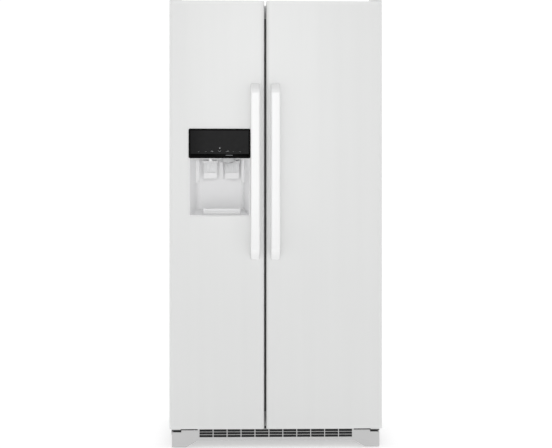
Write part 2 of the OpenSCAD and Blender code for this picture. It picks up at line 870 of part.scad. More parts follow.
// A fan: a hub on a shaft with flat blades set at an angle, turning about +Y
module fan(hub_r, blade_r, depth, blades) {
    rotate([-90, 0, 0]) {
        cylinder(r = hub_r, h = depth);
        for (i = [0:blades - 1]) rotate([0, 0, i * 360 / blades])
            translate([(hub_r + blade_r) / 2 - 1, 0, depth / 2]) rotate([30, 0, 0])
                cube([blade_r - hub_r, depth * 1.3, 1.6], center = true);
    }
}

module evaporator_fan() {
    color(dark) translate([evap_fan_x, 264, evap_fan_z]) {
        fan(17, 58, 20, 6);
        bar([0, 19, 0], 18, axle_r, "y");
    }
}

module evaporator_coil() {
    y = [270, 335];
    z = [step_z + 70, 960];
    rows = 7;
    fins = 16;
    color(steel) {
        for (i = [0:rows - 1], yy = [y[0] + 15, y[1] - 15])
            bar([-362, yy, z[0] + 30 + i * (z[1] - z[0] - 60) / (rows - 1)], 278, 4.5, "x");
        for (i = [0:fins - 1])
            block([-352 + i * 17, -351 + i * 17], y, z);
    }
}

shelf_lip = 6;
// A drawer: a tub with side lips that ride on rails
module drawer(x, y, z) {
    tub(x, y, z, 3, 8);
    for (side = [0, 1]) {
        x0 = side == 0 ? x[0] - shelf_lip : x[1] - 1;
        block([x0, x0 + shelf_lip + 1], [y[0] + 12, y[1] - 12], [z[1] - 4, z[1]]);
    }
}

// A pull along the top of a drawer's front
module pull(x, y, z) {
    block([x[0] + 60, x[1] - 60], [y - 12, y + 1], [z - 4, z]);
    block([x[0] + 60, x[1] - 60], [y - 12, y - 9], [z - 16, z - 3]);
}

fridge_drawer_x = [fridge_x[0] + 8, fridge_x[1] - 8];
freezer_drawer_x = [freezer_x[0] + 8, freezer_x[1] - 8];
drawer_y = drawer_front + 12;
crisper_lower_z = [134, 325];
crisper_upper_z = [356, 540];
basket_z = [134, 325];
bucket_z = [1275, 1470];

module crisper_lower() {
    color(clear_blue) {
        drawer(fridge_drawer_x, [drawer_y, step_rear - 8], crisper_lower_z);
        pull(fridge_drawer_x, drawer_y, crisper_lower_z[1]);
    }
}

module crisper_upper() {
    color(clear_blue) {
        drawer(fridge_drawer_x, [drawer_y, room_rear - 25], crisper_upper_z);
        pull(fridge_drawer_x, drawer_y, crisper_upper_z[1]);
    }
}

module freezer_basket() {
    x = freezer_drawer_x;
    color(white) difference() {
        union() {
            drawer(x, [drawer_y, step_rear - 8], basket_z);
            pull(x, drawer_y, basket_z[1]);
        }
        for (i = [0:16]) block([x[0] + 20 + i * 15, x[0] + 27 + i * 15],
            [drawer_y - 1, drawer_y + 4], [basket_z[0] + 25, basket_z[1] - 40]);
    }
}

auger_z = bucket_z[0] + 46;
auger_x = -223;
bucket_rear = 240;
module ice_bucket() {
    x = freezer_drawer_x;
    color(clear_blue) difference() {
        drawer(x, [drawer_y, bucket_rear], bucket_z);
        bar([auger_x, bucket_rear - 10, auger_z], 20, 7 + pin_clear, "y");
        bar([auger_x, drawer_y - 2, auger_z], 5.1, 7 + pin_clear, "y");
        // outlet for the ice, over the spout
        block(spout_inner_x, spout_hole_y, [bucket_z[0] - 1, bucket_z[0] + 4]);
    }
    color(clear_blue) spout();
}

// Spout under the bucket that leads the ice down to the port in the door
spout_x = [ice_port_x - 32, ice_port_x + 32];
spout_inner_x = [spout_x[0] + 3, spout_x[1] - 3];
spout_hole_y = [-135, -85];
spout_front = -206;
module spout() {
    top = bucket_z[0];
    low = top - 80;
    difference() {
        side_profile(spout_x, [
            [spout_front, low], [spout_front, low + 64], [-160, top + 1], [-75, top + 1],
            [-75, top - 14]
        ]);
        side_profile(spout_inner_x, [
            [spout_front - 1, low + 3], [spout_front - 1, low + 60], [-159, top - 3],
            [spout_hole_y[0], top - 3], [spout_hole_y[0], top + 2], [spout_hole_y[1], top + 2],
            [spout_hole_y[1], top - 12]
        ]);
    }
}

// An outline in the YZ plane, extruded between two limits along X
module side_profile(x, points) {
    translate([x[0], 0, 0]) rotate([90, 0, 90]) linear_extrude(x[1] - x[0]) polygon(points);
}

// Auger: a shaft with blades that step round it, held in the bucket's end walls
module auger() {
    first = drawer_y + 30;
    pitch = (bucket_rear - 20 - first) / 14;
    color(steel) {
        bar([auger_x, drawer_y - 0.5, auger_z], bucket_rear + 8 - drawer_y, 7, "y");
        for (i = [0:13]) translate([auger_x, first + i * pitch, auger_z]) rotate([0, i * 45, 0])
            block([0, 36], [0, 4], [-9, 9]);
    }
}

maker_x = [-330, -150];
maker_z = [1520, 1600];
module ice_maker() {
    y = [60, 250];
    color(grey) {
        difference() {
            block(maker_x, y, maker_z);
            for (i = [0:6]) translate([maker_x[0] + 22, y[0] + 24 + i * 25, maker_z[1] + 6])
                rotate([0, 90, 0]) cylinder(r = 30, h = 20);
            block([maker_x[0] + 50, maker_x[1] - 12], [y[0] + 8, y[1] - 8],
                [maker_z[0] + 25, maker_z[1] + 1]);
        }
        // hanger to the side wall, control box and the arm's bearing
        block([freezer_x[0], maker_x[0] + 1], [y[0] + 30, y[1] - 30], [1560, 1595]);
        block([maker_x[0], maker_x[1]], [y[0] - 30, y[0] + 1], [maker_z[0] - 4, 1610]);
        difference() {
            block([maker_x[1] - 1, maker_x[1] + 14], [y[0] - 24, y[0]], [1540, 1580]);
            bar([maker_x[1] - 2, y[0] - 12, 1560], 18, 3 + pin_clear, "x");
        }
    }
    // auger motor on the rear wall, with a coupling for the auger's shaft
    color(dark) {
        block([auger_x - 45, auger_x + 45], [bucket_rear + 30, room_rear], [1262, 1370]);
        difference() {
            bar([auger_x, bucket_rear + 10, auger_z], 21, 16, "y");
            bar([auger_x, bucket_rear + 9, auger_z], 6, 7.4, "y");
        }
    }
}

// Wire arm that feels how full the bucket is
module bail_arm() {
    pivot = [maker_x[1], 48, 1560];
    color(steel) {
        bar([pivot[0], pivot[1], pivot[2]], 26, 3, "x");
        bar([pivot[0] + 23, pivot[1], pivot[2] - 76], 79, 3, "z");
        bar([maker_x[0] + 20, pivot[1], pivot[2] - 76], pivot[0] + 26 - maker_x[0] - 20, 3, "x");
    }
}

wire_r = 2.5;
wire_shelf_z = [480, 700, 920, 1140];
module wire_shelf(z, y) {
    x = [freezer_x[0] + 4, freezer_x[1] - 4];
    n = 13;
    for (yy = [y[0], y[1] - 6]) block(x, [yy, yy + 6], [z, z + 6]);
    for (xx = [x[0], x[1] - 6]) block([xx, xx + 6], y, [z, z + 6]);
    for (i = [1:n - 1]) bar([x[0] + i * (x[1] - x[0]) / n, y[0] + 3, z + 3], y[1] - y[0] - 6,
        wire_r, "y");
}

module wire_shelves() {
    color(white) for (z = wire_shelf_z) wire_shelf(z, [shelf_front, 245]);
}

// ---------- inside the fridge ----------

glass_t = 5;
glass_z = [800, 1040, 1280];
crisper_glass_z = [335, 550];
module glass_shelves() {
    x = [fridge_x[0] + 2, fridge_x[1] - 2];
    color(clear_blue) {
        for (z = glass_z) block(x, [shelf_front, 300], [z, z + glass_t]);
        block(x, [shelf_front, step_rear - 2], [crisper_glass_z[0], crisper_glass_z[0] + glass_t]);
        block(x, [shelf_front, 320], [crisper_glass_z[1], crisper_glass_z[1] + glass_t]);
    }
}

// A ledge on each side wall of a compartment
module ledges(x, y, z, w, h) {
    block([x[0], x[0] + w], y, [z - h, z]);
    block([x[1] - w, x[1]], y, [z - h, z]);
}

module shelf_rails() {
    under = 4.3;
    color(liner_white) {
        ledges(fridge_x, [drawer_front, step_rear - 4], crisper_lower_z[1] - under, 6, 9);
        ledges(fridge_x, [drawer_front, room_rear - 10], crisper_upper_z[1] - under, 6, 9);
        ledges(freezer_x, [drawer_front, step_rear - 4], basket_z[1] - under, 6, 9);
        ledges(freezer_x, [drawer_front, 250], bucket_z[1] - under, 6, 9);
        for (z = glass_z) ledges(fridge_x, [shelf_front + 6, 300], z, 12, 8);
        ledges(fridge_x, [shelf_front + 6, step_rear - 2], crisper_glass_z[0], 5, 5);
        ledges(fridge_x, [shelf_front + 6, 320], crisper_glass_z[1], 5, 5);
        for (z = wire_shelf_z) ledges(freezer_x, [shelf_front + 6, 245], z, 12, 8);
        for (x = [60, 290]) block([x, x + 14], [room_rear - 4, room_rear], [700, 1500]);
    }
}

filter_x = 318;
filter_z = 1652;
filter_r = 26;
housing_y = [-50, 280];
// Housing on the fridge ceiling: lamp at the front, filter socket at the right
module ceiling_housing() {
    color(liner_white) difference() {
        union() {
            block([30, 270], housing_y, [1650, room_z[1]]);
            block([269, fridge_x[1] - 10], housing_y, [1618, room_z[1]]);
        }
        bar([filter_x, housing_y[0] - 1, filter_z], 250, filter_r + 0.3, "y");
        for (i = [0:8]) block([50, 250], [housing_y[0] + 20 + i * 20, housing_y[0] + 32 + i * 20],
            [1649, 1653]);
    }
}

module water_filter() {
    color(white) {
        bar([filter_x, housing_y[0] - 12, filter_z], 255, filter_r, "y");
        block([filter_x - 20, filter_x + 20], [housing_y[0] - 26, housing_y[0] - 11],
            [filter_z - 4, filter_z + 4]);
    }
}

// ---------- machine room ----------

floor_z = pan_z - 12;
comp_x = 215;
comp_y = 318;
module compressor() {
    color(dark) {
        translate([comp_x, comp_y, floor_z + 22]) rotate_extrude() {
            square([80, 110]);
            translate([0, 110]) intersection() {
                translate([0, -40]) circle(90);
                square([80, 60]);
            }
        }
        translate([comp_x, comp_y, floor_z]) for (sx = [-1, 1], sy = [-1, 1])
            translate([sx * 66, sy * 66, 0]) {
                cylinder(r = 12, h = 18);
                translate([0, 0, 17]) cylinder(r = 5, h = 10);
            }
        block([comp_x - 82, comp_x + 82], [comp_y - 82, comp_y + 82], [floor_z + 18, floor_z + 23]);
        block([comp_x - 104, comp_x - 76], [comp_y - 30, comp_y + 30], [110, 165]);
    }
}

cond_x = [-372, -150];
cond_fan_x = -120;
cond_fan_z = 170;
module condenser() {
    y = [232, 408];
    rows = 6;
    fins = 10;
    color(dark) {
        for (i = [0:rows - 1], yy = [y[0] + 30, y[1] - 30])
            bar([cond_x[0], yy, 96 + i * 32], cond_x[1] - cond_x[0], 4, "x");
        for (i = [0:fins - 1])
            block([cond_x[0] + 8 + i * 22, cond_x[0] + 9 + i * 22], y, [80, 272]);
        // shroud plate with the fan's opening, and the motor's bridge
        difference() {
            block([cond_x[1] - 1, cond_x[1] + 2], [218, 420], [floor_z, 296]);
            bar([cond_x[1] - 2, 320, cond_fan_z], 5, 82, "x");
        }
        difference() {
            union() {
                block([cond_fan_x + 24, cond_fan_x + 27], [218, 420], [cond_fan_z - 9, cond_fan_z + 9]);
                bar([cond_fan_x + 20, 320, cond_fan_z], 45, 24, "x");
            }
            bar([cond_fan_x + 15, 320, cond_fan_z], 30, axle_r + pin_clear, "x");
        }
        for (yy = [218, 414]) block([cond_x[1] + 1, cond_fan_x + 27], [yy, yy + 6],
            [cond_fan_z - 9, cond_fan_z + 9]);
    }
}

module condenser_fan() {
    color(dark) translate([cond_fan_x - 18, 320, cond_fan_z]) {
        rotate([0, 0, -90]) fan(22, 78, 24, 5);
        bar([22, 0, 0], 25, axle_r, "x");
    }
}

module drain_pan() {
    color(dark) tub([-338, -165], [222, 404], [floor_z, floor_z + 24], 2, 8);
}

valve_x = 345;
valve_z = 215;
gland_x = -250;
gland_z = 262;
module rear_cover() {
    y = [cab_rear - sheet - 2, cab_rear - sheet];
    color(grey) difference() {
        block([-400, 400], y, [pan_z + 2, machine_top - 2]);
        for (row = [0:5], i = [0:17])
            block([-360 + i * 34, -336 + i * 34], [y[0] - 1, y[1] + 1], [90 + row * 22, 96 + row * 22]);
        bar([valve_x, y[0] - 1, valve_z], 4, 14, "y");
        bar([gland_x, y[0] - 1, gland_z], 4, 9, "y");
    }
}

valve_thread_r = 5.5;
module inlet_valve() {
    color(steel) {
        block([valve_x - 22, valve_x + 22], [382, 414], [valve_z - 22, valve_z + 22]);
        bar([valve_x, 413, valve_z], 12, 11, "y");
        bar([valve_x, 424, valve_z], 443 - 424, valve_thread_r, "y");
        bar([valve_x, 398, valve_z - 40], 20, 12, "z");
        block([valve_x + 21, half_cab - 2 * sheet], [390, 393], [valve_z - 15, valve_z + 15]);
    }
}

gland_bore_r = 4.5;
module cord_inlet() {
    color(dark) difference() {
        union() {
            bar([gland_x, cab_rear - 8, gland_z], 14, 8.9, "y");
            bar([gland_x, cab_rear - sheet, gland_z], 3, 13, "y");
            bar([gland_x, cab_rear - 8, gland_z], 4.5, 13, "y");
        }
        bar([gland_x, cab_rear - 10, gland_z], 20, gland_bore_r, "y");
    }
}

freezer_door_panel();
freezer_door_foam();
freezer_door_liner();
freezer_door_gasket();
freezer_door_caps();
freezer_handle();
freezer_door_bins();
dispenser_housing();
control_panel();
ice_chute();
water_nozzle();
drip_tray();
ice_paddle();
water_paddle();
chute_flap();
fridge_door_panel();
fridge_door_foam();
fridge_door_liner();
fridge_door_gasket();
fridge_door_caps();
fridge_handle();
fridge_door_bins();
dairy_box();
dairy_lid();
cabinet_wrapper();
back_panel();
base_frame();
insulation();
freezer_liner();
fridge_liner();
mullion_strip();
evaporator_cover();
evaporator_coil();
ceiling_housing();
glass_shelves();
shelf_rails();
wire_shelves();
ice_maker();
door_hinges();
hinge_covers();
kick_plate();
compressor();
condenser();
rear_cover();
drain_pan();
inlet_valve();
cord_inlet();
front_rollers();
rear_rollers();
foot_left();
foot_right();
condenser_fan();
evaporator_fan();
crisper_upper();
crisper_lower();
freezer_basket();
ice_bucket();
auger();
bail_arm();
water_filter();
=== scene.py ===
"""Looks of the side by side refrigerator: materials, small parts, light and camera."""

import json
import math

import bmesh
import bpy
from mathutils import Matrix, Vector


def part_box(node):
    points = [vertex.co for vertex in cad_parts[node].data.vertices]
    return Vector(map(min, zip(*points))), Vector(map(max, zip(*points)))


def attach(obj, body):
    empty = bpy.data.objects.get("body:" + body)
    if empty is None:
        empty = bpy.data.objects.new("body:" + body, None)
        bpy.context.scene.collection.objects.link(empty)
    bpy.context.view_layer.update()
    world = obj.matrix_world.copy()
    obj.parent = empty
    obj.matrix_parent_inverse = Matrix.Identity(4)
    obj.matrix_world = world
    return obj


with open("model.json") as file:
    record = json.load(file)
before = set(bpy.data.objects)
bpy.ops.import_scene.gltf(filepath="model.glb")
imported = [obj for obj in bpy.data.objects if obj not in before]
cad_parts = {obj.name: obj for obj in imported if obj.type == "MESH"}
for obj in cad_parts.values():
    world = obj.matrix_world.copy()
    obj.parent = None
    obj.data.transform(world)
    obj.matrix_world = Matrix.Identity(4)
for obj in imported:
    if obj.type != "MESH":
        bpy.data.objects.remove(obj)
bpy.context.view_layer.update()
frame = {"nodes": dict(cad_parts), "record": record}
nodes = frame["nodes"]
MM = 0.001


# ---------------------------------------------------------------- materials

class Look:
    """A Principled material whose colour, roughness and bump come from object-space noise."""

    def __init__(self, name, color, rough, metallic=0.0):
        self.mat = bpy.data.materials.new(name)
        self.mat.use_nodes = True
        self.tree = self.mat.node_tree
        self.shader = self.tree.nodes["Principled BSDF"]
        self.color = color
        self.shader.inputs["Base Color"].default_value = (*color, 1)
        self.shader.inputs["Roughness"].default_value = rough
        self.shader.inputs["Metallic"].default_value = metallic
        self.rough = rough
        self.coords = self.tree.nodes.new("ShaderNodeTexCoord")
        self.color_link = None
        self.normal_link = None

    def set(self, **sockets):
        """Sets constant sockets of the shader, with _ for a space in a name."""
        for name, value in sockets.items():
            self.shader.inputs[name.replace("_", " ")].default_value = value
        return self

    def noise(self, scale, stretch=(1, 1, 1), detail=3.0, kind="noise"):
        """A noise value from 0 to 1, with scale in features per metre."""
        place = self.tree.nodes.new("ShaderNodeMapping")
        place.inputs["Scale"].default_value = stretch
        self.tree.links.new(self.coords.outputs["Object"], place.inputs["Vector"])
        if kind == "cells":
            tex = self.tree.nodes.new("ShaderNodeTexVoronoi")
            tex.inputs["Scale"].default_value = scale
            out = tex.outputs["Distance"]
        elif kind == "flakes":
            tex = self.tree.nodes.new("ShaderNodeTexVoronoi")
            tex.inputs["Scale"].default_value = scale
            out = self.tree.nodes.new("ShaderNodeSeparateColor")
            self.tree.links.new(tex.outputs["Color"], out.inputs["Color"])
            out = out.outputs["Red"]
        else:
            tex = self.tree.nodes.new("ShaderNodeTexNoise")
            tex.inputs["Scale"].default_value = scale
            tex.inputs["Detail"].default_value = detail
            out = tex.outputs["Fac"]
        self.tree.links.new(place.outputs["Vector"], tex.inputs["Vector"])
        return out

    def ramp(self, value, low, high):
        """Maps a noise value to a range."""
        node = self.tree.nodes.new("ShaderNodeMapRange")
        node.inputs["From Min"].default_value = 0.25
        node.inputs["From Max"].default_value = 0.75
        node.inputs["To Min"].default_value = low
        node.inputs["To Max"].default_value = high
        self.tree.links.new(value, node.inputs["Value"])
        return node.outputs["Result"]

    def tone(self, spread, scale, stretch=(1, 1, 1), kind="noise", tint=(1, 1, 1)):
        """Lightens and darkens the base colour by spread, tinting the dark parts."""
        value = self.ramp(self.noise(scale, stretch, kind=kind), 0, 1)
        mix = self.tree.nodes.new("ShaderNodeMix")
        mix.data_type = "RGBA"
        mix.blend_type = "MULTIPLY"
        mix.inputs["Factor"].default_value = 1
        shade = self.tree.nodes.new("ShaderNodeMix")
        shade.data_type = "RGBA"
        dark = [max(0.0, (1 - spread) * t) for t in tint]
        shade.inputs["A"].default_value = (*dark, 1)
        shade.inputs["B"].default_value = (1, 1, 1, 1)
        self.tree.links.new(value, shade.inputs["Factor"])
        if self.color_link:
            self.tree.links.new(self.color_link, mix.inputs["A"])
        else:
            mix.inputs["A"].default_value = (*self.color, 1)
        self.tree.links.new(shade.outputs["Result"], mix.inputs["B"])
        self.color_link = mix.outputs["Result"]
        self.tree.links.new(self.color_link, self.shader.inputs["Base Color"])
        return self

    def sheen_map(self, spread, scale, stretch=(1, 1, 1)):
        """Varies the roughness about its base value."""
        value = self.ramp(self.noise(scale, stretch), self.rough - spread, self.rough + spread)
        self.tree.links.new(value, self.shader.inputs["Roughness"])
        return self

    def worn_and_highlit_edges(self, radius_mm, gain, worn_highlight_color=(1, 1, 1)):
        """Blends the colour towards worn_highlight_color along convex and concave edges, as wear
        and as a painted highlight along the edges.
        """
        edge = self.tree.nodes.new("ShaderNodeBevel")
        edge.samples = 4
        edge.inputs["Radius"].default_value = radius_mm * MM
        face = self.tree.nodes.new("ShaderNodeNewGeometry")
        dot = self.tree.nodes.new("ShaderNodeVectorMath")
        dot.operation = "DOT_PRODUCT"
        self.tree.links.new(edge.outputs["Normal"], dot.inputs[0])
        self.tree.links.new(face.outputs["Normal"], dot.inputs[1])
        amount = self.tree.nodes.new("ShaderNodeMapRange")
        amount.inputs["From Min"].default_value = 0.995
        amount.inputs["From Max"].default_value = 0.80
        amount.inputs["To Max"].default_value = gain
        self.tree.links.new(dot.outputs["Value"], amount.inputs["Value"])
        mix = self.tree.nodes.new("ShaderNodeMix")
        mix.data_type = "RGBA"
        self.tree.links.new(amount.outputs["Result"], mix.inputs["Factor"])
        if self.color_link:
            self.tree.links.new(self.color_link, mix.inputs["A"])
        else:
            mix.inputs["A"].default_value = (*self.color, 1)
        mix.inputs["B"].default_value = (*worn_highlight_color, 1)
        self.color_link = mix.outputs["Result"]
        self.tree.links.new(self.color_link, self.shader.inputs["Base Color"])
        return self

    def bump(self, height, scale, stretch=(1, 1, 1), kind="noise", strength=1.0):
        """Adds relief of a height in metres."""
        node = self.tree.nodes.new("ShaderNodeBump")
        node.inputs["Strength"].default_value = strength
        node.inputs["Distance"].default_value = height
        self.tree.links.new(self.noise(scale, stretch, kind=kind), node.inputs["Height"])
        if self.normal_link:
            self.tree.links.new(self.normal_link, node.inputs["Normal"])
        self.normal_link = node.outputs["Normal"]
        self.tree.links.new(self.normal_link, self.shader.inputs["Normal"])
        return self


def white_door_paint():
    """The doors' glossy white, with faint upright streaks painted in as reflections of the studio's
    softboxes.
    """
    look = Look("white_door_paint", (0.79, 0.795, 0.79), 0.30)
    look.set(Coat_Weight=0.25, Coat_Roughness=0.12)
    # the upright-stretched tone is a painted reflection of the softboxes; the broad tone is random
    look.tone(0.020, 26, (1, 1, 0.03)).tone(0.008, 2.6)
    look.sheen_map(0.02, 45, (1, 1, 0.3))
    return look.bump(0.00004, 330, strength=0.5)


def white_side_paint(name, color):
    """Duller paint with a fine pebbled grain."""
    look = Look(name, color, 0.42)
    look.tone(0.030, 3).tone(0.02, 240, kind="cells").sheen_map(0.06, 8)
    return look.bump(0.00018, 620, kind="cells", strength=0.6)


def plastic(name, color, rough, grain=0.00004, grain_scale=1100, spread=0.012, coat=0.15):
    """Moulded plastic, paler along its edges with wear and a painted highlight."""
    look = Look(name, color, rough)
    look.set(Coat_Weight=coat, Coat_Roughness=0.2)
    look.tone(spread, 14).worn_and_highlit_edges(1.2, 0.35).sheen_map(0.04, 30)
    return look.bump(grain, grain_scale, strength=0.5)


def liner_plastic():
    look = Look("liner_plastic", (0.84, 0.845, 0.85), 0.33)
    look.set(Coat_Weight=0.3, Coat_Roughness=0.1)
    look.tone(0.02, 4).sheen_map(0.04, 12)
    return look.bump(0.00010, 60, strength=0.4)


def dark_plastic():
    look = Look("dark_plastic", (0.030, 0.030, 0.032), 0.5)
    look.tone(0.35, 40).worn_and_highlit_edges(0.8, 0.12, (0.3, 0.3, 0.3)).sheen_map(0.1, 60)
    return look.bump(0.00008, 1400, strength=0.7)


def black_gloss(name, color, specular):
    look = Look(name, color, 0.10)
    look.set(Specular_IOR_Level=specular)
    look.tone(0.25, 60).sheen_map(0.04, 90)
    return look.bump(0.00001, 500, strength=0.3)


def clear_plastic():
    look = Look("clear_plastic", (0.93, 0.96, 0.97), 0.10)
    look.set(Transmission_Weight=0.92, IOR=1.49)
    look.tone(0.03, 12).sheen_map(0.05, 25)
    return look.bump(0.00003, 160, strength=0.4)


def shelf_glass():
    look = Look("shelf_glass", (0.86, 0.96, 0.93), 0.03)
    look.set(Transmission_Weight=1.0, IOR=1.52)
    look.tone(0.03, 5).sheen_map(0.02, 20)
    return look.bump(0.00001, 40, strength=0.3)


def rubber(name, color):
    look = Look(name, color, 0.68)
    look.tone(0.08, 60).sheen_map(0.08, 80)
    return look.bump(0.00010, 1800, strength=0.7)


def galvanised_steel():
    look = Look("galvanised_steel", (0.60, 0.61, 0.62), 0.38, metallic=1.0)
    look.tone(0.07, 75, kind="flakes").tone(0.04, 9).worn_and_highlit_edges(0.6, 0.3)
    look.sheen_map(0.05, 90)
    return look.bump(0.00002, 75, kind="flakes", strength=0.3)


def bright_steel():
    look = Look("bright_steel", (0.66, 0.66, 0.67), 0.36, metallic=1.0)
    look.set(Anisotropic=0.4)
    look.tone(0.10, 90, (1, 1, 8)).worn_and_highlit_edges(0.6, 0.4).sheen_map(0.06, 200, (1, 1, 12))
    return look.bump(0.00002, 700, (1, 1, 14), strength=0.5)


HINGE_RAMP_H = 2.0       # height in metres that the hinges' colour ramps cover
HINGE_BLOCK_DROP = 0.0074  # from the kick plate's top to the lower hinge block's underside


def hinge_metal_and_shade():
    """The angle painted near-black as shade in the gap below the white lower block, then that block
    and the bare top plates, told apart by height.
    """
    look = Look("hinge_metal_and_shade", (0.6, 0.6, 0.6), 0.38)
    split = look.tree.nodes.new("ShaderNodeSeparateXYZ")
    look.tree.links.new(look.coords.outputs["Object"], split.inputs["Vector"])
    height = look.tree.nodes.new("ShaderNodeMath")
    height.operation = "DIVIDE"
    height.inputs[1].default_value = HINGE_RAMP_H
    look.tree.links.new(split.outputs["Z"], height.inputs[0])
    block_low = (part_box("kick_plate")[1].z - HINGE_BLOCK_DROP) / HINGE_RAMP_H
    colors = look.tree.nodes.new("ShaderNodeValToRGB")
    metal = look.tree.nodes.new("ShaderNodeValToRGB")
    # where each zone starts, its colour, and how metallic it is; the lowest zone's near-black is
    # painted shade
    zones = (
        (0, (0.03, 0.03, 0.03), 0), (block_low, (0.79, 0.795, 0.79), 0),
        (0.5, (0.62, 0.62, 0.63), 1),
    )
    for ramp, pick in ((colors, 1), (metal, 2)):
        ramp.color_ramp.interpolation = "CONSTANT"
        ramp.color_ramp.elements[1].position = zones[1][0]
        ramp.color_ramp.elements.new(zones[2][0])
        for element, zone in zip(ramp.color_ramp.elements, zones):
            value = zone[pick]
            element.color = (*value, 1) if pick == 1 else (value, value, value, 1)
        look.tree.links.new(height.outputs["Value"], ramp.inputs["Fac"])
    look.tree.links.new(metal.outputs["Color"], look.shader.inputs["Metallic"])
    look.color_link = colors.outputs["Color"]
    look.tree.links.new(look.color_link, look.shader.inputs["Base Color"])
    look.tone(0.06, 60).sheen_map(0.06, 120)
    return look.bump(0.00003, 500, strength=0.5)


def black_paint():
    look = Look("black_paint", (0.020, 0.020, 0.021), 0.42)
    look.tone(0.3, 25).worn_and_highlit_edges(0.8, 0.15, (0.25, 0.25, 0.26)).sheen_map(0.12, 50)
    return look.bump(0.00012, 420, strength=0.6)


def fin_aluminium():
    look = Look("fin_aluminium", (0.78, 0.79, 0.80), 0.34, metallic=1.0)
    look.tone(0.12, 30).sheen_map(0.05, 80)
    return look.bump(0.00006, 300, strength=0.5)


def soft_metal(name, color, tint):
    """Copper or brass, whose dark patches are tinted."""
    look = Look(name, color, 0.36, metallic=1.0)
    look.tone(0.20, 90, tint=tint).sheen_map(0.06, 140)
    return look.bump(0.00004, 900, strength=0.5)


def white_wire():
    look = Look("white_wire", (0.86, 0.865, 0.865), 0.34)
    look.set(Coat_Weight=0.4, Coat_Roughness=0.1)
    look.tone(0.03, 60).sheen_map(0.05, 120)
    return look.bump(0.00008, 500, strength=0.5)


def foam():
    look = Look("foam", (0.80, 0.70, 0.42), 0.9)
    look.tone(0.15, 25).sheen_map(0.05, 50)
    return look.bump(0.0006, 900, kind="cells", strength=0.8)


def lamp_lens():
    look = Look("lamp_lens", (0.92, 0.93, 0.94), 0.45)
    look.set(Transmission_Weight=0.35)
    look.tone(0.03, 30).sheen_map(0.05, 60)
    return look.bump(0.0003, 700, kind="cells", strength=0.5)


def display_ink():
    look = Look("display_ink", (0.30, 0.31, 0.32), 0.4)
    look.tone(0.25, 900).sheen_map(0.08, 600)
    return look.bump(0.00001, 900, strength=0.3)


LOOKS = {
    "white_paint": white_door_paint().mat,
    "side_paint": white_side_paint("white_side_paint", (0.79, 0.795, 0.80)).mat,
    # the mullion strip's dark grey is painted shade, so the gap between the doors reads dark
    "mullion_painted_shade": white_side_paint("mullion_painted_shade", (0.26, 0.265, 0.27)).mat,
    "white_plastic": plastic("white_plastic", (0.80, 0.805, 0.80), 0.34).mat,
    "handle_plastic": plastic("handle_plastic", (0.90, 0.90, 0.90), 0.33, spread=0.004,
                              coat=0.8).mat,
    "kick_plastic": plastic("kick_plastic", (0.62, 0.62, 0.62), 0.45).mat,
    "tray_plastic": plastic("tray_plastic", (0.84, 0.845, 0.85), 0.45).mat,
    "rib_plastic": plastic("rib_plastic", (0.80, 0.805, 0.81), 0.45).mat,
    # the ice chute's mid grey is painted shade, for the shadow under the control panel
    "chute_painted_shade": plastic("chute_painted_shade", (0.50, 0.505, 0.51), 0.45).mat,
    "liner_plastic": liner_plastic().mat,
    "pale_plastic": plastic("pale_plastic", (0.88, 0.88, 0.885), 0.42, 0.00006, 1500).mat,
    "grey_plastic": plastic("grey_plastic", (0.52, 0.53, 0.54), 0.48).mat,
    "dark_plastic": dark_plastic().mat,
    "black_gloss": black_gloss("black_gloss", (0.011, 0.011, 0.0115), 0.07).mat,
    "black_border": black_gloss("black_border", (0.002, 0.002, 0.002), 0.03).mat,
    "clear_plastic": clear_plastic().mat,
    "shelf_glass": shelf_glass().mat,
    "gasket_rubber": rubber("gasket_rubber", (0.32, 0.33, 0.34)).mat,
    "dark_rubber": rubber("dark_rubber", (0.025, 0.025, 0.026)).mat,
    "galvanised_steel": galvanised_steel().mat,
    "bright_steel": bright_steel().mat,
    "hinge_metal_and_shade": hinge_metal_and_shade().mat,
    "black_paint": black_paint().mat,
    "fin_aluminium": fin_aluminium().mat,
    "valve_brass": soft_metal("valve_brass", (0.72, 0.55, 0.25), (1, 0.92, 0.8)).mat,
    "copper": soft_metal("copper", (0.72, 0.38, 0.24), (0.9, 0.75, 0.7)).mat,
    "white_wire": white_wire().mat,
    "foam": foam().mat,
    "lamp_lens": lamp_lens().mat,
    "display_ink": display_ink().mat,
}

# Nodes whose look isn't that of their material slot in the record
SPECIAL = {
    "cabinet_wrapper": "side_paint", "mullion_strip": "mullion_painted_shade",
    "freezer_handle": "handle_plastic", "fridge_handle": "handle_plastic",
    "kick_plate": "kick_plastic", "door_hinges": "hinge_metal_and_shade",
    "drip_tray": "tray_plastic", "ice_chute": "chute_painted_shade",
}


def dress_cad_nodes():
    """Gives each CAD node the look of its material slot, or its special one."""
    slot_of = {s["node"]: s["material_slot"] for s in frame["record"]["subparts"]}
    for name, obj in nodes.items():
        look = LOOKS[SPECIAL.get(name, slot_of[name])]
        obj.data.materials.clear()
        obj.data.materials.append(look)


# ---------------------------------------------------------------- CAD edges

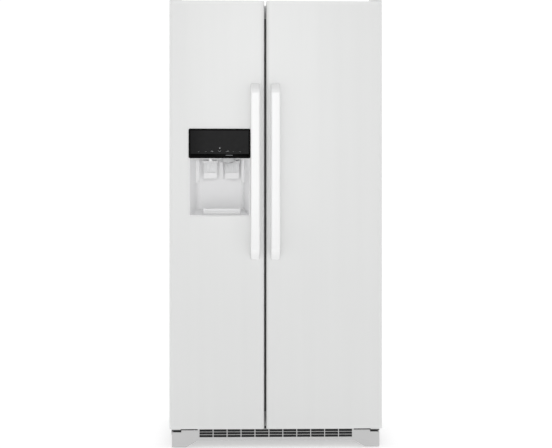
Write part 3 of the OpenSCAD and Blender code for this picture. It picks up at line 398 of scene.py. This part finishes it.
# Width in millimetres of the rounded edges of the nodes that show
EDGE_MM = {
    "freezer_handle": 5.5, "fridge_handle": 5.5, "freezer_door_caps": 1.2,
    "fridge_door_caps": 1.2, "kick_plate": 0.7, "hinge_covers": 2.2, "dispenser_housing": 0.9,
    "control_panel": 1.2, "ice_paddle": 1.2, "water_paddle": 1.2, "drip_tray": 1.0,
    "ice_chute": 0.8, "freezer_door_bins": 0.9, "fridge_door_bins": 0.9, "dairy_box": 1.0,
    "dairy_lid": 1.0, "crisper_upper": 1.1, "crisper_lower": 1.1, "freezer_basket": 1.1,
    "ice_bucket": 1.1, "cabinet_wrapper": 0.4, "freezer_door_liner": 1.2,
    "fridge_door_liner": 1.2, "shelf_rails": 1.5, "glass_shelves": 1.0, "wire_shelves": 0.8,
    "ice_maker": 3.0, "ceiling_housing": 1.5, "evaporator_cover": 0.6, "base_frame": 0.5,
    "door_hinges": 0.8, "inlet_valve": 1.2, "cord_inlet": 0.8, "rear_cover": 0.3,
    "water_filter": 2.0, "foot_left": 1.0, "foot_right": 1.0, "front_rollers": 1.2,
    "rear_rollers": 1.2, "drain_pan": 0.7, "compressor": 2.5, "condenser_fan": 0.5,
    "evaporator_fan": 0.5, "auger": 0.6, "chute_flap": 0.6, "freezer_door_gasket": 0.8,
    "fridge_door_gasket": 0.8, "back_panel": 0.2,
}


def smooth(obj, degrees=35):
    """Shades an object smooth, apart from the edges sharper than an angle."""
    mesh = obj.data
    custom = mesh.attributes.get("custom_normal")
    if custom:
        mesh.attributes.remove(custom)
    for face in mesh.polygons:
        face.use_smooth = True
    mesh.set_sharp_from_angle(angle=math.radians(degrees))


WELD_MM = 0.02
WIDE_EDGE_MM = 2         # wider edges than this get more segments
BEVEL_ANGLE = 38         # degrees; flatter edges stay as they are


def round_cad_edges():
    """Rounds the CAD nodes' edges, and keeps their large faces flat in the shading."""
    for name, obj in nodes.items():
        smooth(obj)
        weld = obj.modifiers.new("weld", "WELD")
        weld.merge_threshold = WELD_MM * MM
        width = EDGE_MM.get(name)
        if width:
            bevel = obj.modifiers.new("edges", "BEVEL")
            bevel.width = width * MM
            bevel.segments = 4 if width > WIDE_EDGE_MM else 2
            bevel.limit_method = "ANGLE"
            bevel.angle_limit = math.radians(BEVEL_ANGLE)
            bevel.use_clamp_overlap = True
        weighted = obj.modifiers.new("flat_faces", "WEIGHTED_NORMAL")
        weighted.keep_sharp = True
        weighted.mode = "FACE_AREA"


# ---------------------------------------------------------------- mesh tools

def add(name, mesh_maker, look, body, degrees=35):
    """Makes a piece from a function that fills a bmesh, and rides it on a body."""
    bm = bmesh.new()
    mesh_maker(bm)
    bmesh.ops.remove_doubles(bm, verts=bm.verts, dist=1e-6)
    bmesh.ops.recalc_face_normals(bm, faces=bm.faces)
    mesh = bpy.data.meshes.new(name)
    bm.to_mesh(mesh)
    bm.free()
    obj = bpy.data.objects.new(name, mesh)
    bpy.context.scene.collection.objects.link(obj)
    smooth(obj, degrees)
    mesh.materials.append(LOOKS[look])
    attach(obj, body)


def slab(bm, low, high, bevel=0.6, segments=3):
    """A box between two corners in millimetres, with rounded edges."""
    low, high = Vector(low), Vector(high)
    made = bmesh.ops.create_cube(bm, size=1)
    verts = made["verts"]
    size = high - low
    for v in verts:
        v.co = Vector((low[i] + (v.co[i] + 0.5) * size[i]) * MM for i in range(3))
    edges = list({e for v in verts for e in v.link_edges})
    bmesh.ops.bevel(bm, geom=edges, offset=bevel * MM, segments=segments, affect="EDGES",
                    profile=0.5, clamp_overlap=True)


def lathe(bm, profile, place, segments=32):
    """Turns a profile of (radius, height) points, in millimetres, about the placed Z axis."""
    rings = []
    for r, h in profile:
        if r < 1e-6:
            rings.append([bm.verts.new(place @ Vector((0, 0, h * MM)))])
        else:
            rings.append([bm.verts.new(place @ Vector((
                r * MM * math.cos(2 * math.pi * k / segments),
                r * MM * math.sin(2 * math.pi * k / segments), h * MM)))
                for k in range(segments)])
    for a, b in zip(rings, rings[1:]):
        for k in range(segments):
            n = (k + 1) % segments
            quad = [a[k % len(a)], a[n % len(a)], b[n % len(b)], b[k % len(b)]]
            quad = list(dict.fromkeys(quad))
            if len(quad) > 2:
                bm.faces.new(quad)


# Rotations that take the Z axis to a named axis
AXES = {
    "+z": Matrix.Identity(3),
    "+y": Matrix.Rotation(-math.pi / 2, 3, "X"),
    "-y": Matrix.Rotation(math.pi / 2, 3, "X"),
}


def at(point, axis="+z"):
    """A placement at a point in millimetres, with local Z along an axis."""
    return Matrix.Translation(Vector(point) * MM) @ AXES[axis].to_4x4()


def screw(bm, point, axis, radius=4.0, height=2.2):
    """A pan-head screw with a cross in the middle of its head."""
    place = at(point, axis)
    r, h = radius, height
    dome = [(r, 0), (r, h * 0.35)]
    dome += [(r * math.cos(a), h * (0.35 + 0.65 * math.sin(a)))
             for a in (math.radians(d) for d in (20, 40, 60))]
    dome += [(r * 0.42, h * 0.97), (r * 0.34, h * 0.55), (0, h * 0.35)]
    lathe(bm, dome, place, 20)
    for turn in (0, 1):
        spin = place @ Matrix.Rotation(turn * math.pi / 2, 4, "Z")
        half = Vector((r * 0.62, r * 0.11, 0)) * MM
        ring = [spin @ Vector((sx * half.x, sy * half.y, h * 1.01 * MM))
                for sx, sy in ((-1, -1), (1, -1), (1, 1), (-1, 1))]
        low = [spin @ Vector((sx * half.x * 0.9, sy * half.y * 0.7, h * 0.6 * MM))
               for sx, sy in ((-1, -1), (1, -1), (1, 1), (-1, 1))]
        top_v = [bm.verts.new(p) for p in ring]
        low_v = [bm.verts.new(p) for p in low]
        for k in range(4):
            bm.faces.new((top_v[k], top_v[(k + 1) % 4], low_v[(k + 1) % 4], low_v[k]))
        bm.faces.new(low_v)
        bm.faces.new(top_v)


def tube(name, points, radius, look, body):
    """A round tube along a smooth path through points in millimetres."""
    curve = bpy.data.curves.new(name, "CURVE")
    curve.dimensions = "3D"
    spline = curve.splines.new("BEZIER")
    spline.bezier_points.add(len(points) - 1)
    for bp, p in zip(spline.bezier_points, points):
        bp.co = Vector(p) * MM
        bp.handle_left_type = "AUTO"
        bp.handle_right_type = "AUTO"
    curve.bevel_depth = radius * MM
    curve.bevel_resolution = 4
    curve.resolution_u = 10
    curve.use_fill_caps = True
    curve.materials.append(LOOKS[look])
    obj = bpy.data.objects.new(name, curve)
    bpy.context.scene.collection.objects.link(obj)
    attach(obj, body)


def rounded_outline(low, high, radius, steps=6):
    """Corner-rounded rectangle as 2D points, anticlockwise."""
    points = []
    corners = [(high[0] - radius, high[1] - radius, 0), (low[0] + radius, high[1] - radius, 90),
               (low[0] + radius, low[1] + radius, 180), (high[0] - radius, low[1] + radius, 270)]
    for cx, cy, start in corners:
        for k in range(steps + 1):
            a = math.radians(start + 90 * k / steps)
            points.append((cx + radius * math.cos(a), cy + radius * math.sin(a)))
    return points


def ring_frame(bm, low, high, radius, width, y, depth, lip=0.8):
    """A frame in the XZ plane: outline low..high, band of a width, front face at y."""
    outer = rounded_outline(low, high, radius)
    inner = rounded_outline((low[0] + width, low[1] + width), (high[0] - width, high[1] - width),
                            max(radius - width, 0.4))
    section = [(0, depth), (0, lip), (0.25, 0), (0.75, 0), (1, lip), (1, depth)]
    loops = []
    for share, back in section:
        loops.append([bm.verts.new(Vector((
            (o[0] + (i[0] - o[0]) * share) * MM, (y + back) * MM,
            (o[1] + (i[1] - o[1]) * share) * MM))) for o, i in zip(outer, inner)])
    count = len(outer)
    for a, b in zip(loops, loops[1:] + loops[:1]):
        for k in range(count):
            n = (k + 1) % count
            bm.faces.new((a[k], a[n], b[n], b[k]))


def box_mm(node):
    """A CAD node's box in millimetres."""
    low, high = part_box(node)
    return low / MM, high / MM


# ---------------------------------------------------------------- control panel

def plate(bm, points, front, back):
    """A flat plate from an outline of (x, z) points, facing the viewer at y = front."""
    near = [bm.verts.new(Vector((x, front, z)) * MM) for x, z in points]
    far = [bm.verts.new(Vector((x, back, z)) * MM) for x, z in points]
    bm.faces.new(near)
    bm.faces.new(far[::-1])
    count = len(points)
    for k in range(count):
        n = (k + 1) % count
        bm.faces.new((near[k], near[n], far[n], far[k]))


def stroke(bm, points, width, front, back):
    """A line of plates along (x, z) points."""
    for (x0, z0), (x1, z1) in zip(points, points[1:]):
        along = Vector((x1 - x0, z1 - z0)).normalized() * width / 2
        side = Vector((-along.y, along.x))
        start = (x0 - along.x, z0 - along.y)
        end = (x1 + along.x, z1 + along.y)
        plate(bm, [(start[0] + side.x, start[1] + side.y), (start[0] - side.x, start[1] - side.y),
                   (end[0] - side.x, end[1] - side.y), (end[0] + side.x, end[1] + side.y)],
              front, back)


PANEL_BORDER_W = 7
PANEL_CORNER_R = 6
PANEL_STRIP_H = 17       # height of the darker strip along the panel's lower edge
LAMP_Z = 40              # heights of the marks over the panel's lower edge
CHEVRON_Z = 26
DASH_PITCH = 27
DASH_STEPS = (-3, -2, -1, 1, 2, 3)


def panel_details():
    """The panel's border, lower strip and generic marks, all a fraction of a millimetre proud."""
    low, high = box_mm("control_panel")
    face = low.y
    centre = (low.x + high.x) / 2
    edge = 0.4

    def border(bm):
        ring_frame(bm, (low.x + edge, low.z + edge), (high.x - edge, high.z - edge),
                   PANEL_CORNER_R, PANEL_BORDER_W, face - 0.5, 1.2, 0.3)

    def strip(bm):
        slab(bm, (low.x + PANEL_BORDER_W, face - 0.35, low.z + PANEL_BORDER_W - 0.5),
             (high.x - PANEL_BORDER_W, face + 0.6, low.z + PANEL_STRIP_H), 0.3, 2)

    def icons(bm):
        ink = (face - 0.25, face + 0.2)
        chevron_z = low.z + CHEVRON_Z
        lathe(bm, [(2.6, 0), (2.6, 0.3), (0, 0.45)],
              at((centre + 1, face, low.z + LAMP_Z), "-y"), 20)
        stroke(bm, [(centre - 5, chevron_z + 3), (centre, chevron_z), (centre + 5, chevron_z + 3)],
               0.9, *ink)
        for x in (centre - 30, centre + 33):
            stroke(bm, [(x - 4, chevron_z + 1), (x + 4, chevron_z + 1)], 1.0, *ink)
            lathe(bm, [(1.0, 0), (1.0, 0.25), (0, 0.3)], at((x, face, chevron_z + 5), "-y"), 12)
        for k in DASH_STEPS:
            x = centre + k * DASH_PITCH
            stroke(bm, [(x - 3, low.z + CHEVRON_Z), (x + 3, low.z + CHEVRON_Z)], 0.5, *ink)

    def mark(bm):
        slab(bm, (centre + 24, face - 0.5, low.z + 11), (centre + 52, face + 0.2, low.z + 12.6),
             0.3, 2)

    add("panel_border", border, "black_border", "freezer_door")
    add("panel_strip", strip, "black_border", "freezer_door")
    add("panel_icons", icons, "display_ink", "freezer_door")
    add("panel_mark", mark, "display_ink", "freezer_door")


# ---------------------------------------------------------------- dispenser recess

RIB_COUNT = 7
PIN_OVERHANG = 6         # from a paddle's box, which its pin sets, to its outermost rib
RIB_START = 25           # from the paddle's lower end to the start of the ribs
PAD_DEPTH = 6            # the pad stands this far in front of the paddle's plate
PIN_ROOM = 12            # from the top of the paddle's box to the end of the ribs


def paddle_ribs(node, body):
    """Upright ribs on a thin backing, between a paddle's pad and its pin."""
    low, high = box_mm(node)
    left, right = low.x + PIN_OVERHANG, high.x - PIN_OVERHANG
    plate_front = low.y + PAD_DEPTH
    bottom, top = low.z + RIB_START, high.z - PIN_ROOM

    def ribs(bm):
        slab(bm, (left - 0.5, plate_front - 0.5, bottom - 1),
             (right + 0.5, plate_front + 0.3, top + 1), 0.3, 2)
        for k in range(RIB_COUNT):
            x = left + (right - left) * k / (RIB_COUNT - 1)
            slab(bm, (x - 1, plate_front - 1.6, bottom), (x + 1, plate_front + 0.4, top), 0.7, 2)
        slab(bm, (left - 1, plate_front - 2.2, top - 1),
             (right + 1, plate_front + 0.4, top + 2.5), 0.8, 2)

    add(node + "_ribs", ribs, "rib_plastic", body)


RECESS_LAMP_X = (-232, -212)
RECESS_LAMP_Y = (-372, -352)
GRID_BARS = 10
GRID_START = 6.2         # from the tray's left side to the middle of the first bar
GRID_PITCH = 14.5
GRID_MARGIN = 12         # from the bars' ends to the tray's front and back
LIP_DROP = 3.4           # from the tray's top down to the lip's lower edge
RIDGE_H = 3.6


def recess_details():
    """The lamp in the recess ceiling, and the tray's grid, lip and ridged front, whose grey backing
    between the ridges is painted groove shade.
    """
    ceiling = box_mm("control_panel")[0].z
    low, high = box_mm("drip_tray")

    def lens(bm):
        slab(bm, (RECESS_LAMP_X[0], RECESS_LAMP_Y[0], ceiling - 2.5),
             (RECESS_LAMP_X[1], RECESS_LAMP_Y[1], ceiling + 0.3), 0.8, 3)

    def grid(bm):
        for k in range(GRID_BARS):
            x = low.x + GRID_START + k * GRID_PITCH
            slab(bm, (x - 1.4, low.y + GRID_MARGIN, high.z - 0.5),
                 (x + 1.4, high.y - GRID_MARGIN, high.z + 0.9), 0.5, 2)

    def lip(bm):
        slab(bm, (low.x, low.y - 1.2, high.z - LIP_DROP), (high.x, low.y + 1, high.z + 0.6), 0.9, 3)
        for z in (low.z + 3, low.z + 10):
            slab(bm, (low.x + 2, low.y - 1.6, z), (high.x - 2, low.y + 0.3, z + RIDGE_H), 0.8, 2)

    # grey backing that shows between the ridges: painted shade in the grooves of the tray's front
    def front(bm):
        slab(bm, (low.x + 1, low.y - 0.4, low.z + 1), (high.x - 1, low.y + 0.3, high.z - 11),
             0.3, 2)

    add("recess_lamp", lens, "lamp_lens", "freezer_door")
    add("tray_grid", grid, "pale_plastic", "drip_tray")
    add("tray_lip", lip, "tray_plastic", "drip_tray")
    add("tray_groove_shade", front, "kick_plastic", "drip_tray")


# ---------------------------------------------------------------- shelf, bin and drawer trims

SHELF_TOPS = (805, 1045, 1285, 340, 555)
FREEZER_BIN_TOPS = (280, 510, 740, 1390, 1570)
FRIDGE_BIN_TOPS = (290, 550, 810, 1070, 1330)
FREEZER_BIN_DROP = 60    # from a bin's top down to the line across its front
FRIDGE_BIN_DROP = 66
TRIM_H = 11


def glass_shelf_trims():
    """A trim along the front edge of every glass shelf."""
    low, high = box_mm("glass_shelves")

    def trims(bm):
        for top in SHELF_TOPS:
            slab(bm, (low.x, low.y - 3, top - TRIM_H), (high.x, low.y + 0.6, top + 2), 1.4)
            slab(bm, (low.x, low.y - 2, top + 0.2), (high.x, low.y + 14, top + 2), 0.8)

    add("glass_shelf_trims", trims, "white_plastic", "cabinet")


def bin_trims(node, body, tops, drop):
    """A rim round the front and sides of every door bin, and a line across its front."""
    low, high = box_mm(node)
    side_w = 2.8
    rim = side_w + 0.4

    def trims(bm):
        for top in tops:
            slab(bm, (low.x + 1, high.y - rim, top - TRIM_H), (high.x - 1, high.y + 1.4, top + 1.2),
                 1.3)
            for x in (low.x + 0.4, high.x - rim):
                slab(bm, (x, low.y + 6, top - 4), (x + side_w, high.y - 1, top + 1.0), 1.0)
            slab(bm, (low.x + 8, high.y - 1, top - drop), (high.x - 8, high.y + 1, top - drop + 4),
                 0.8)

    add(node + "_trims", trims, "white_plastic", body)


DRAWER_SETBACK = 12      # from the front of a drawer's box back to its trims
DRAWER_MARGIN = 7        # from the drawer's side lips to the ends of its trims


def drawer_trims(node, body):
    """A band near the upper edge of a drawer's box, and a line near its lower edge.

    A crisper's box starts at its pull, so its trims lie on its front wall. The ice bucket's box
    starts at its spout, so its trims stand in front of its wall.
    """
    low, high = box_mm(node)
    front = low.y + DRAWER_SETBACK
    left, right = low.x + DRAWER_MARGIN, high.x - DRAWER_MARGIN

    def trim(bm):
        slab(bm, (left, front - 1.4, high.z - 30), (right, front + 0.4, high.z - 3), 1.0)
        slab(bm, (left, front - 1.2, low.z + 6), (right, front + 0.4, low.z + 11), 0.8)

    add(node + "_front_trim", trim, "white_plastic", body)


# ---------------------------------------------------------------- lamp lenses

FRIDGE_LENS_X = (60, 240)
FRIDGE_LENS_Z = (1655, 1688)
FRIDGE_FLUTES = 16
FRIDGE_FLUTE_PITCH = 11.2
FREEZER_LENS_X = (-262, -184)
FREEZER_LENS_Y = (100, 170)
FREEZER_LENS_Z = (1686, 1695.7)
FREEZER_FLUTES = 9
FREEZER_FLUTE_PITCH = 8.4


def fridge_lamp_lens():
    """A fluted lens on the front of the housing under the fridge's ceiling."""
    face = box_mm("ceiling_housing")[0].y

    def lens(bm):
        slab(bm, (FRIDGE_LENS_X[0], face - 3.5, FRIDGE_LENS_Z[0]),
             (FRIDGE_LENS_X[1], face + 0.5, FRIDGE_LENS_Z[1]), 1.6)
        for k in range(FRIDGE_FLUTES):
            x = FRIDGE_LENS_X[0] + 6 + k * FRIDGE_FLUTE_PITCH
            slab(bm, (x, face - 4.6, FRIDGE_LENS_Z[0] + 2),
                 (x + 5, face - 3, FRIDGE_LENS_Z[1] - 2), 0.8, 2)

    add("fridge_lamp_lens", lens, "lamp_lens", "cabinet")


def freezer_lamp_lens():
    """A fluted lens on the freezer's ceiling."""
    (left, right), (front, back), (bottom, top) = FREEZER_LENS_X, FREEZER_LENS_Y, FREEZER_LENS_Z

    def lens(bm):
        slab(bm, (left, front, bottom), (right, back, top), 2.0)
        for k in range(FREEZER_FLUTES):
            x = left + 4 + k * FREEZER_FLUTE_PITCH
            slab(bm, (x, front + 4, bottom - 1), (x + 4, back - 4, bottom + 1), 0.8, 2)

    add("freezer_lamp_lens", lens, "lamp_lens", "cabinet")


# ---------------------------------------------------------------- back and top details

BEAD_X = (-290, -145, 0, 145, 290)
SIDE_SCREWS = 8
SIDE_SCREW_START = 25    # from the panel's lower edge to the first screw
SIDE_SCREW_PITCH = 198
TOP_SCREWS = 6
TOP_SCREW_START = -350   # X of the first screw
TOP_SCREW_PITCH = 140
COVER_SCREW_X = (-392, -200, 0, 200, 392)
SCREW_MARGIN = 9         # from a sheet's edge to the middle of its screws
SCREW_HEAD = (4.2, 2.4)  # radius and height


def back_sheet_details():
    """Pressed beads and screws on the back panel, and screws on the rear cover."""
    low, high = box_mm("back_panel")
    cover_low, cover_high = box_mm("rear_cover")
    rear = high.y

    def beads(bm):
        for x in BEAD_X:
            slab(bm, (x - 8, rear - 0.6, low.z + 60), (x + 8, rear + 2.2, high.z - 60), 2.1, 4)
        for z in (low.z + 40, high.z - 40):
            slab(bm, (low.x + 30, rear - 0.6, z - 6), (high.x - 30, rear + 1.8, z + 6), 1.8, 4)

    def screws(bm):
        for side in (-1, 1):
            for k in range(SIDE_SCREWS):
                z = low.z + SIDE_SCREW_START + k * SIDE_SCREW_PITCH
                screw(bm, (side * (high.x - SCREW_MARGIN), rear - 0.1, z), "+y", *SCREW_HEAD)
        for k in range(TOP_SCREWS):
            x = TOP_SCREW_START + k * TOP_SCREW_PITCH
            screw(bm, (x, rear - 0.1, high.z - SCREW_MARGIN), "+y", *SCREW_HEAD)

    def cover_screws(bm):
        for x in COVER_SCREW_X:
            for z in (cover_low.z + SCREW_MARGIN, cover_high.z - SCREW_MARGIN):
                screw(bm, (x, cover_high.y - 0.1, z), "+y", *SCREW_HEAD)

    add("back_beads", beads, "galvanised_steel", "cabinet", 50)
    add("back_screws", screws, "bright_steel", "cabinet")
    add("rear_cover_screws", cover_screws, "bright_steel", "cabinet")


LINE_X = -385
LINE_R = 3.2
HARNESS_R = 2.6
HARNESS_STEP = 9         # the harness runs beside the water line, this far towards +X
BACK_CLIP_Z = (420, 760, 1100, 1440, 1680)
ROOF_CLIP_Y = (320, 120, -90)


def water_line_and_harness():
    """The water line and the door's wires, clipped up the back and over the top."""
    rear = box_mm("back_panel")[1].y
    roof = box_mm("cabinet_wrapper")[1].z
    cover_top = box_mm("rear_cover")[1].z
    line_y = rear + 4.4
    line_z = roof + 4
    route = [
        (LINE_X, line_y, cover_top + 12), (LINE_X, line_y, 700), (LINE_X, line_y, 1300),
        (LINE_X, line_y, roof - 22), (LINE_X, line_y - 8, roof - 2), (LINE_X, rear - 30, line_z),
        (LINE_X, 200, line_z), (LINE_X - 4, 0, line_z), (LINE_X - 10, -205, line_z),
    ]
    beside = [(x + HARNESS_STEP, y, z) for x, y, z in route]
    tube("water_line", route, LINE_R, "white_plastic", "cabinet")
    tube("wire_harness", beside, HARNESS_R, "dark_plastic", "cabinet")

    def clips(bm):
        for z in BACK_CLIP_Z:
            slab(bm, (LINE_X - 6, rear - 0.3, z - 7), (LINE_X + 15, rear + 8.4, z + 7), 1.6)
        for y in ROOF_CLIP_Y:
            slab(bm, (LINE_X - 10, y - 7, roof - 0.2), (LINE_X + 15, y + 7, roof + 8.2), 1.6)

    def grommets(bm):
        for dx, r in ((0, 6.5), (HARNESS_STEP, 5.5)):
            lathe(bm, [(r, 0), (r, 3), (r - 2, 4.5), (0, 4.5)],
                  at((LINE_X + dx, line_y, cover_top + 10), "+z"), 20)

    add("line_clips", clips, "white_plastic", "cabinet")
    add("line_grommets", grommets, "dark_rubber", "cabinet")


def refrigerant_lines():
    """The compressor's two copper lines, to the condenser and up to the evaporator."""
    comp_low, comp_high = box_mm("compressor")
    x = (comp_low.x + comp_high.x) / 2
    y = (comp_low.y + comp_high.y) / 2
    inlet_x = box_mm("condenser")[1].x - 60
    discharge = [
        (x - 60, y - 20, 150), (x - 110, y - 30, 170), (60, 300, 262), (-60, 290, 284),
        (inlet_x, 280, 284), (inlet_x, 262, 262),
    ]
    suction = [
        (x + 50, y - 30, 150), (x + 76, y - 60, 200), (x + 40, 235, 270), (x - 60, 226, 286),
    ]
    tube("discharge_line", discharge, 3, "copper", "cabinet")
    tube("suction_line", suction, 4.5, "copper", "cabinet")


# ---------------------------------------------------------------- light, floor and camera

CAMERA_HEIGHT = 0.880    # metres, as are the lengths below
CAMERA_DISTANCE = 4.6
CAMERA_SWING = math.radians(-1.5)
SCENE_WIDTH = 2.167      # metres across the picture at the doors


def make_camera():
    """The photograph's view: level, and a little to the left of straight on."""
    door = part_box("fridge_door_panel")[0].y
    centre = Vector((0, door, CAMERA_HEIGHT))
    data = bpy.data.cameras.new("camera")
    data.sensor_width = 36
    data.lens = data.sensor_width * CAMERA_DISTANCE / SCENE_WIDTH
    obj = bpy.data.objects.new("camera", data)
    bpy.context.scene.collection.objects.link(obj)
    obj.location = centre + CAMERA_DISTANCE * Vector((
        math.sin(CAMERA_SWING), -math.cos(CAMERA_SWING), 0))
    obj.rotation_euler = (math.pi / 2, 0, CAMERA_SWING)
    bpy.context.scene.camera = obj


def area_light(name, location, target, size, power):
    """A soft rectangular light aimed at a target, in metres and watts."""
    data = bpy.data.lights.new(name, "AREA")
    data.shape = "RECTANGLE"
    data.size, data.size_y = size
    data.energy = power
    obj = bpy.data.objects.new(name, data)
    bpy.context.scene.collection.objects.link(obj)
    obj.location = location
    aim = Vector(target) - Vector(location)
    obj.rotation_euler = aim.to_track_quat("-Z", "Y").to_euler()
    obj.visible_camera = False


# World strength: dim in front of the object, and white behind it, overhead and at the horizon
WORLD_DIM = 0.44
WORLD_WHITE = 1.06
DIM_TO_WHITE_Y = (-0.40, 0.05)   # Y of the directions between which it turns white
HORIZON_WHITE = 1.04
HORIZON_FADE_Z = (0.15, 0.32)    # height of the directions between which the horizon fades
FLOOR_HALF = 60                  # metres
FLOOR_TONE = 0.56
FLOOR_GLOW = 0.54


def make_world():
    """The studio's surroundings, with plain tone mapping."""
    scene = bpy.context.scene
    scene.view_settings.view_transform = "Standard"
    scene.view_settings.look = "None"
    world = bpy.data.worlds.new("studio")
    world.use_nodes = True
    tree = world.node_tree
    coords = tree.nodes.new("ShaderNodeTexCoord")
    split = tree.nodes.new("ShaderNodeSeparateXYZ")
    tree.links.new(coords.outputs["Generated"], split.inputs["Vector"])
    # dimmer from the front, so that the doors keep their tone
    turn = tree.nodes.new("ShaderNodeMapRange")
    turn.interpolation_type = "SMOOTHSTEP"
    turn.inputs["From Min"].default_value = DIM_TO_WHITE_Y[0]
    turn.inputs["From Max"].default_value = DIM_TO_WHITE_Y[1]
    turn.inputs["To Min"].default_value = WORLD_DIM
    turn.inputs["To Max"].default_value = WORLD_WHITE
    tree.links.new(split.outputs["Y"], turn.inputs["Value"])
    background = tree.nodes["Background"]
    background.inputs["Color"].default_value = (1, 1, 1, 1)
    # white round the horizon, so that the floor has no visible end from any side
    height = tree.nodes.new("ShaderNodeMath")
    height.operation = "ABSOLUTE"
    tree.links.new(split.outputs["Z"], height.inputs[0])
    band = tree.nodes.new("ShaderNodeMapRange")
    band.inputs["From Min"].default_value = HORIZON_FADE_Z[0]
    band.inputs["From Max"].default_value = HORIZON_FADE_Z[1]
    band.inputs["To Min"].default_value = HORIZON_WHITE
    band.inputs["To Max"].default_value = 0
    tree.links.new(height.outputs["Value"], band.inputs["Value"])
    brighter = tree.nodes.new("ShaderNodeMath")
    brighter.operation = "MAXIMUM"
    tree.links.new(turn.outputs["Result"], brighter.inputs[0])
    tree.links.new(band.outputs["Result"], brighter.inputs[1])
    tree.links.new(brighter.outputs["Value"], background.inputs["Strength"])
    scene.world = world


def make_floor():
    """A plain pale floor that glows a little, so that it matches the horizon."""
    floor = Look("studio_floor", (FLOOR_TONE, FLOOR_TONE, FLOOR_TONE), 0.7)
    floor.tone(0.01, 1.5).sheen_map(0.05, 3)
    floor.set(Emission_Color=(1, 1, 1, 1), Emission_Strength=FLOOR_GLOW)
    bm = bmesh.new()
    corners = [bm.verts.new((x * FLOOR_HALF, y * FLOOR_HALF, 0)) for x, y in
               ((-1, -1), (1, -1), (1, 1), (-1, 1))]
    bm.faces.new(corners)
    mesh = bpy.data.meshes.new("floor")
    bm.to_mesh(mesh)
    bm.free()
    mesh.materials.append(floor.mat)
    obj = bpy.data.objects.new("floor", mesh)
    bpy.context.scene.collection.objects.link(obj)


dress_cad_nodes()
round_cad_edges()
panel_details()
paddle_ribs("ice_paddle", "ice_paddle")
paddle_ribs("water_paddle", "water_paddle")
recess_details()
glass_shelf_trims()
bin_trims("freezer_door_bins", "freezer_door", FREEZER_BIN_TOPS, FREEZER_BIN_DROP)
bin_trims("fridge_door_bins", "fridge_door", FRIDGE_BIN_TOPS, FRIDGE_BIN_DROP)
drawer_trims("crisper_lower", "crisper_lower")
drawer_trims("crisper_upper", "crisper_upper")
drawer_trims("ice_bucket", "ice_bucket")
fridge_lamp_lens()
freezer_lamp_lens()
back_sheet_details()
water_line_and_harness()
refrigerant_lines()
make_camera()
make_world()
area_light("top", location=(0, -1.2, 4.2), target=(0, -0.4, 0), size=(5, 4), power=12)
area_light("front", location=(-0.05, -2.5, 1.62), target=(-0.02, -0.385, 1.05), size=(0.7, 1.6),
           power=6)
make_floor()
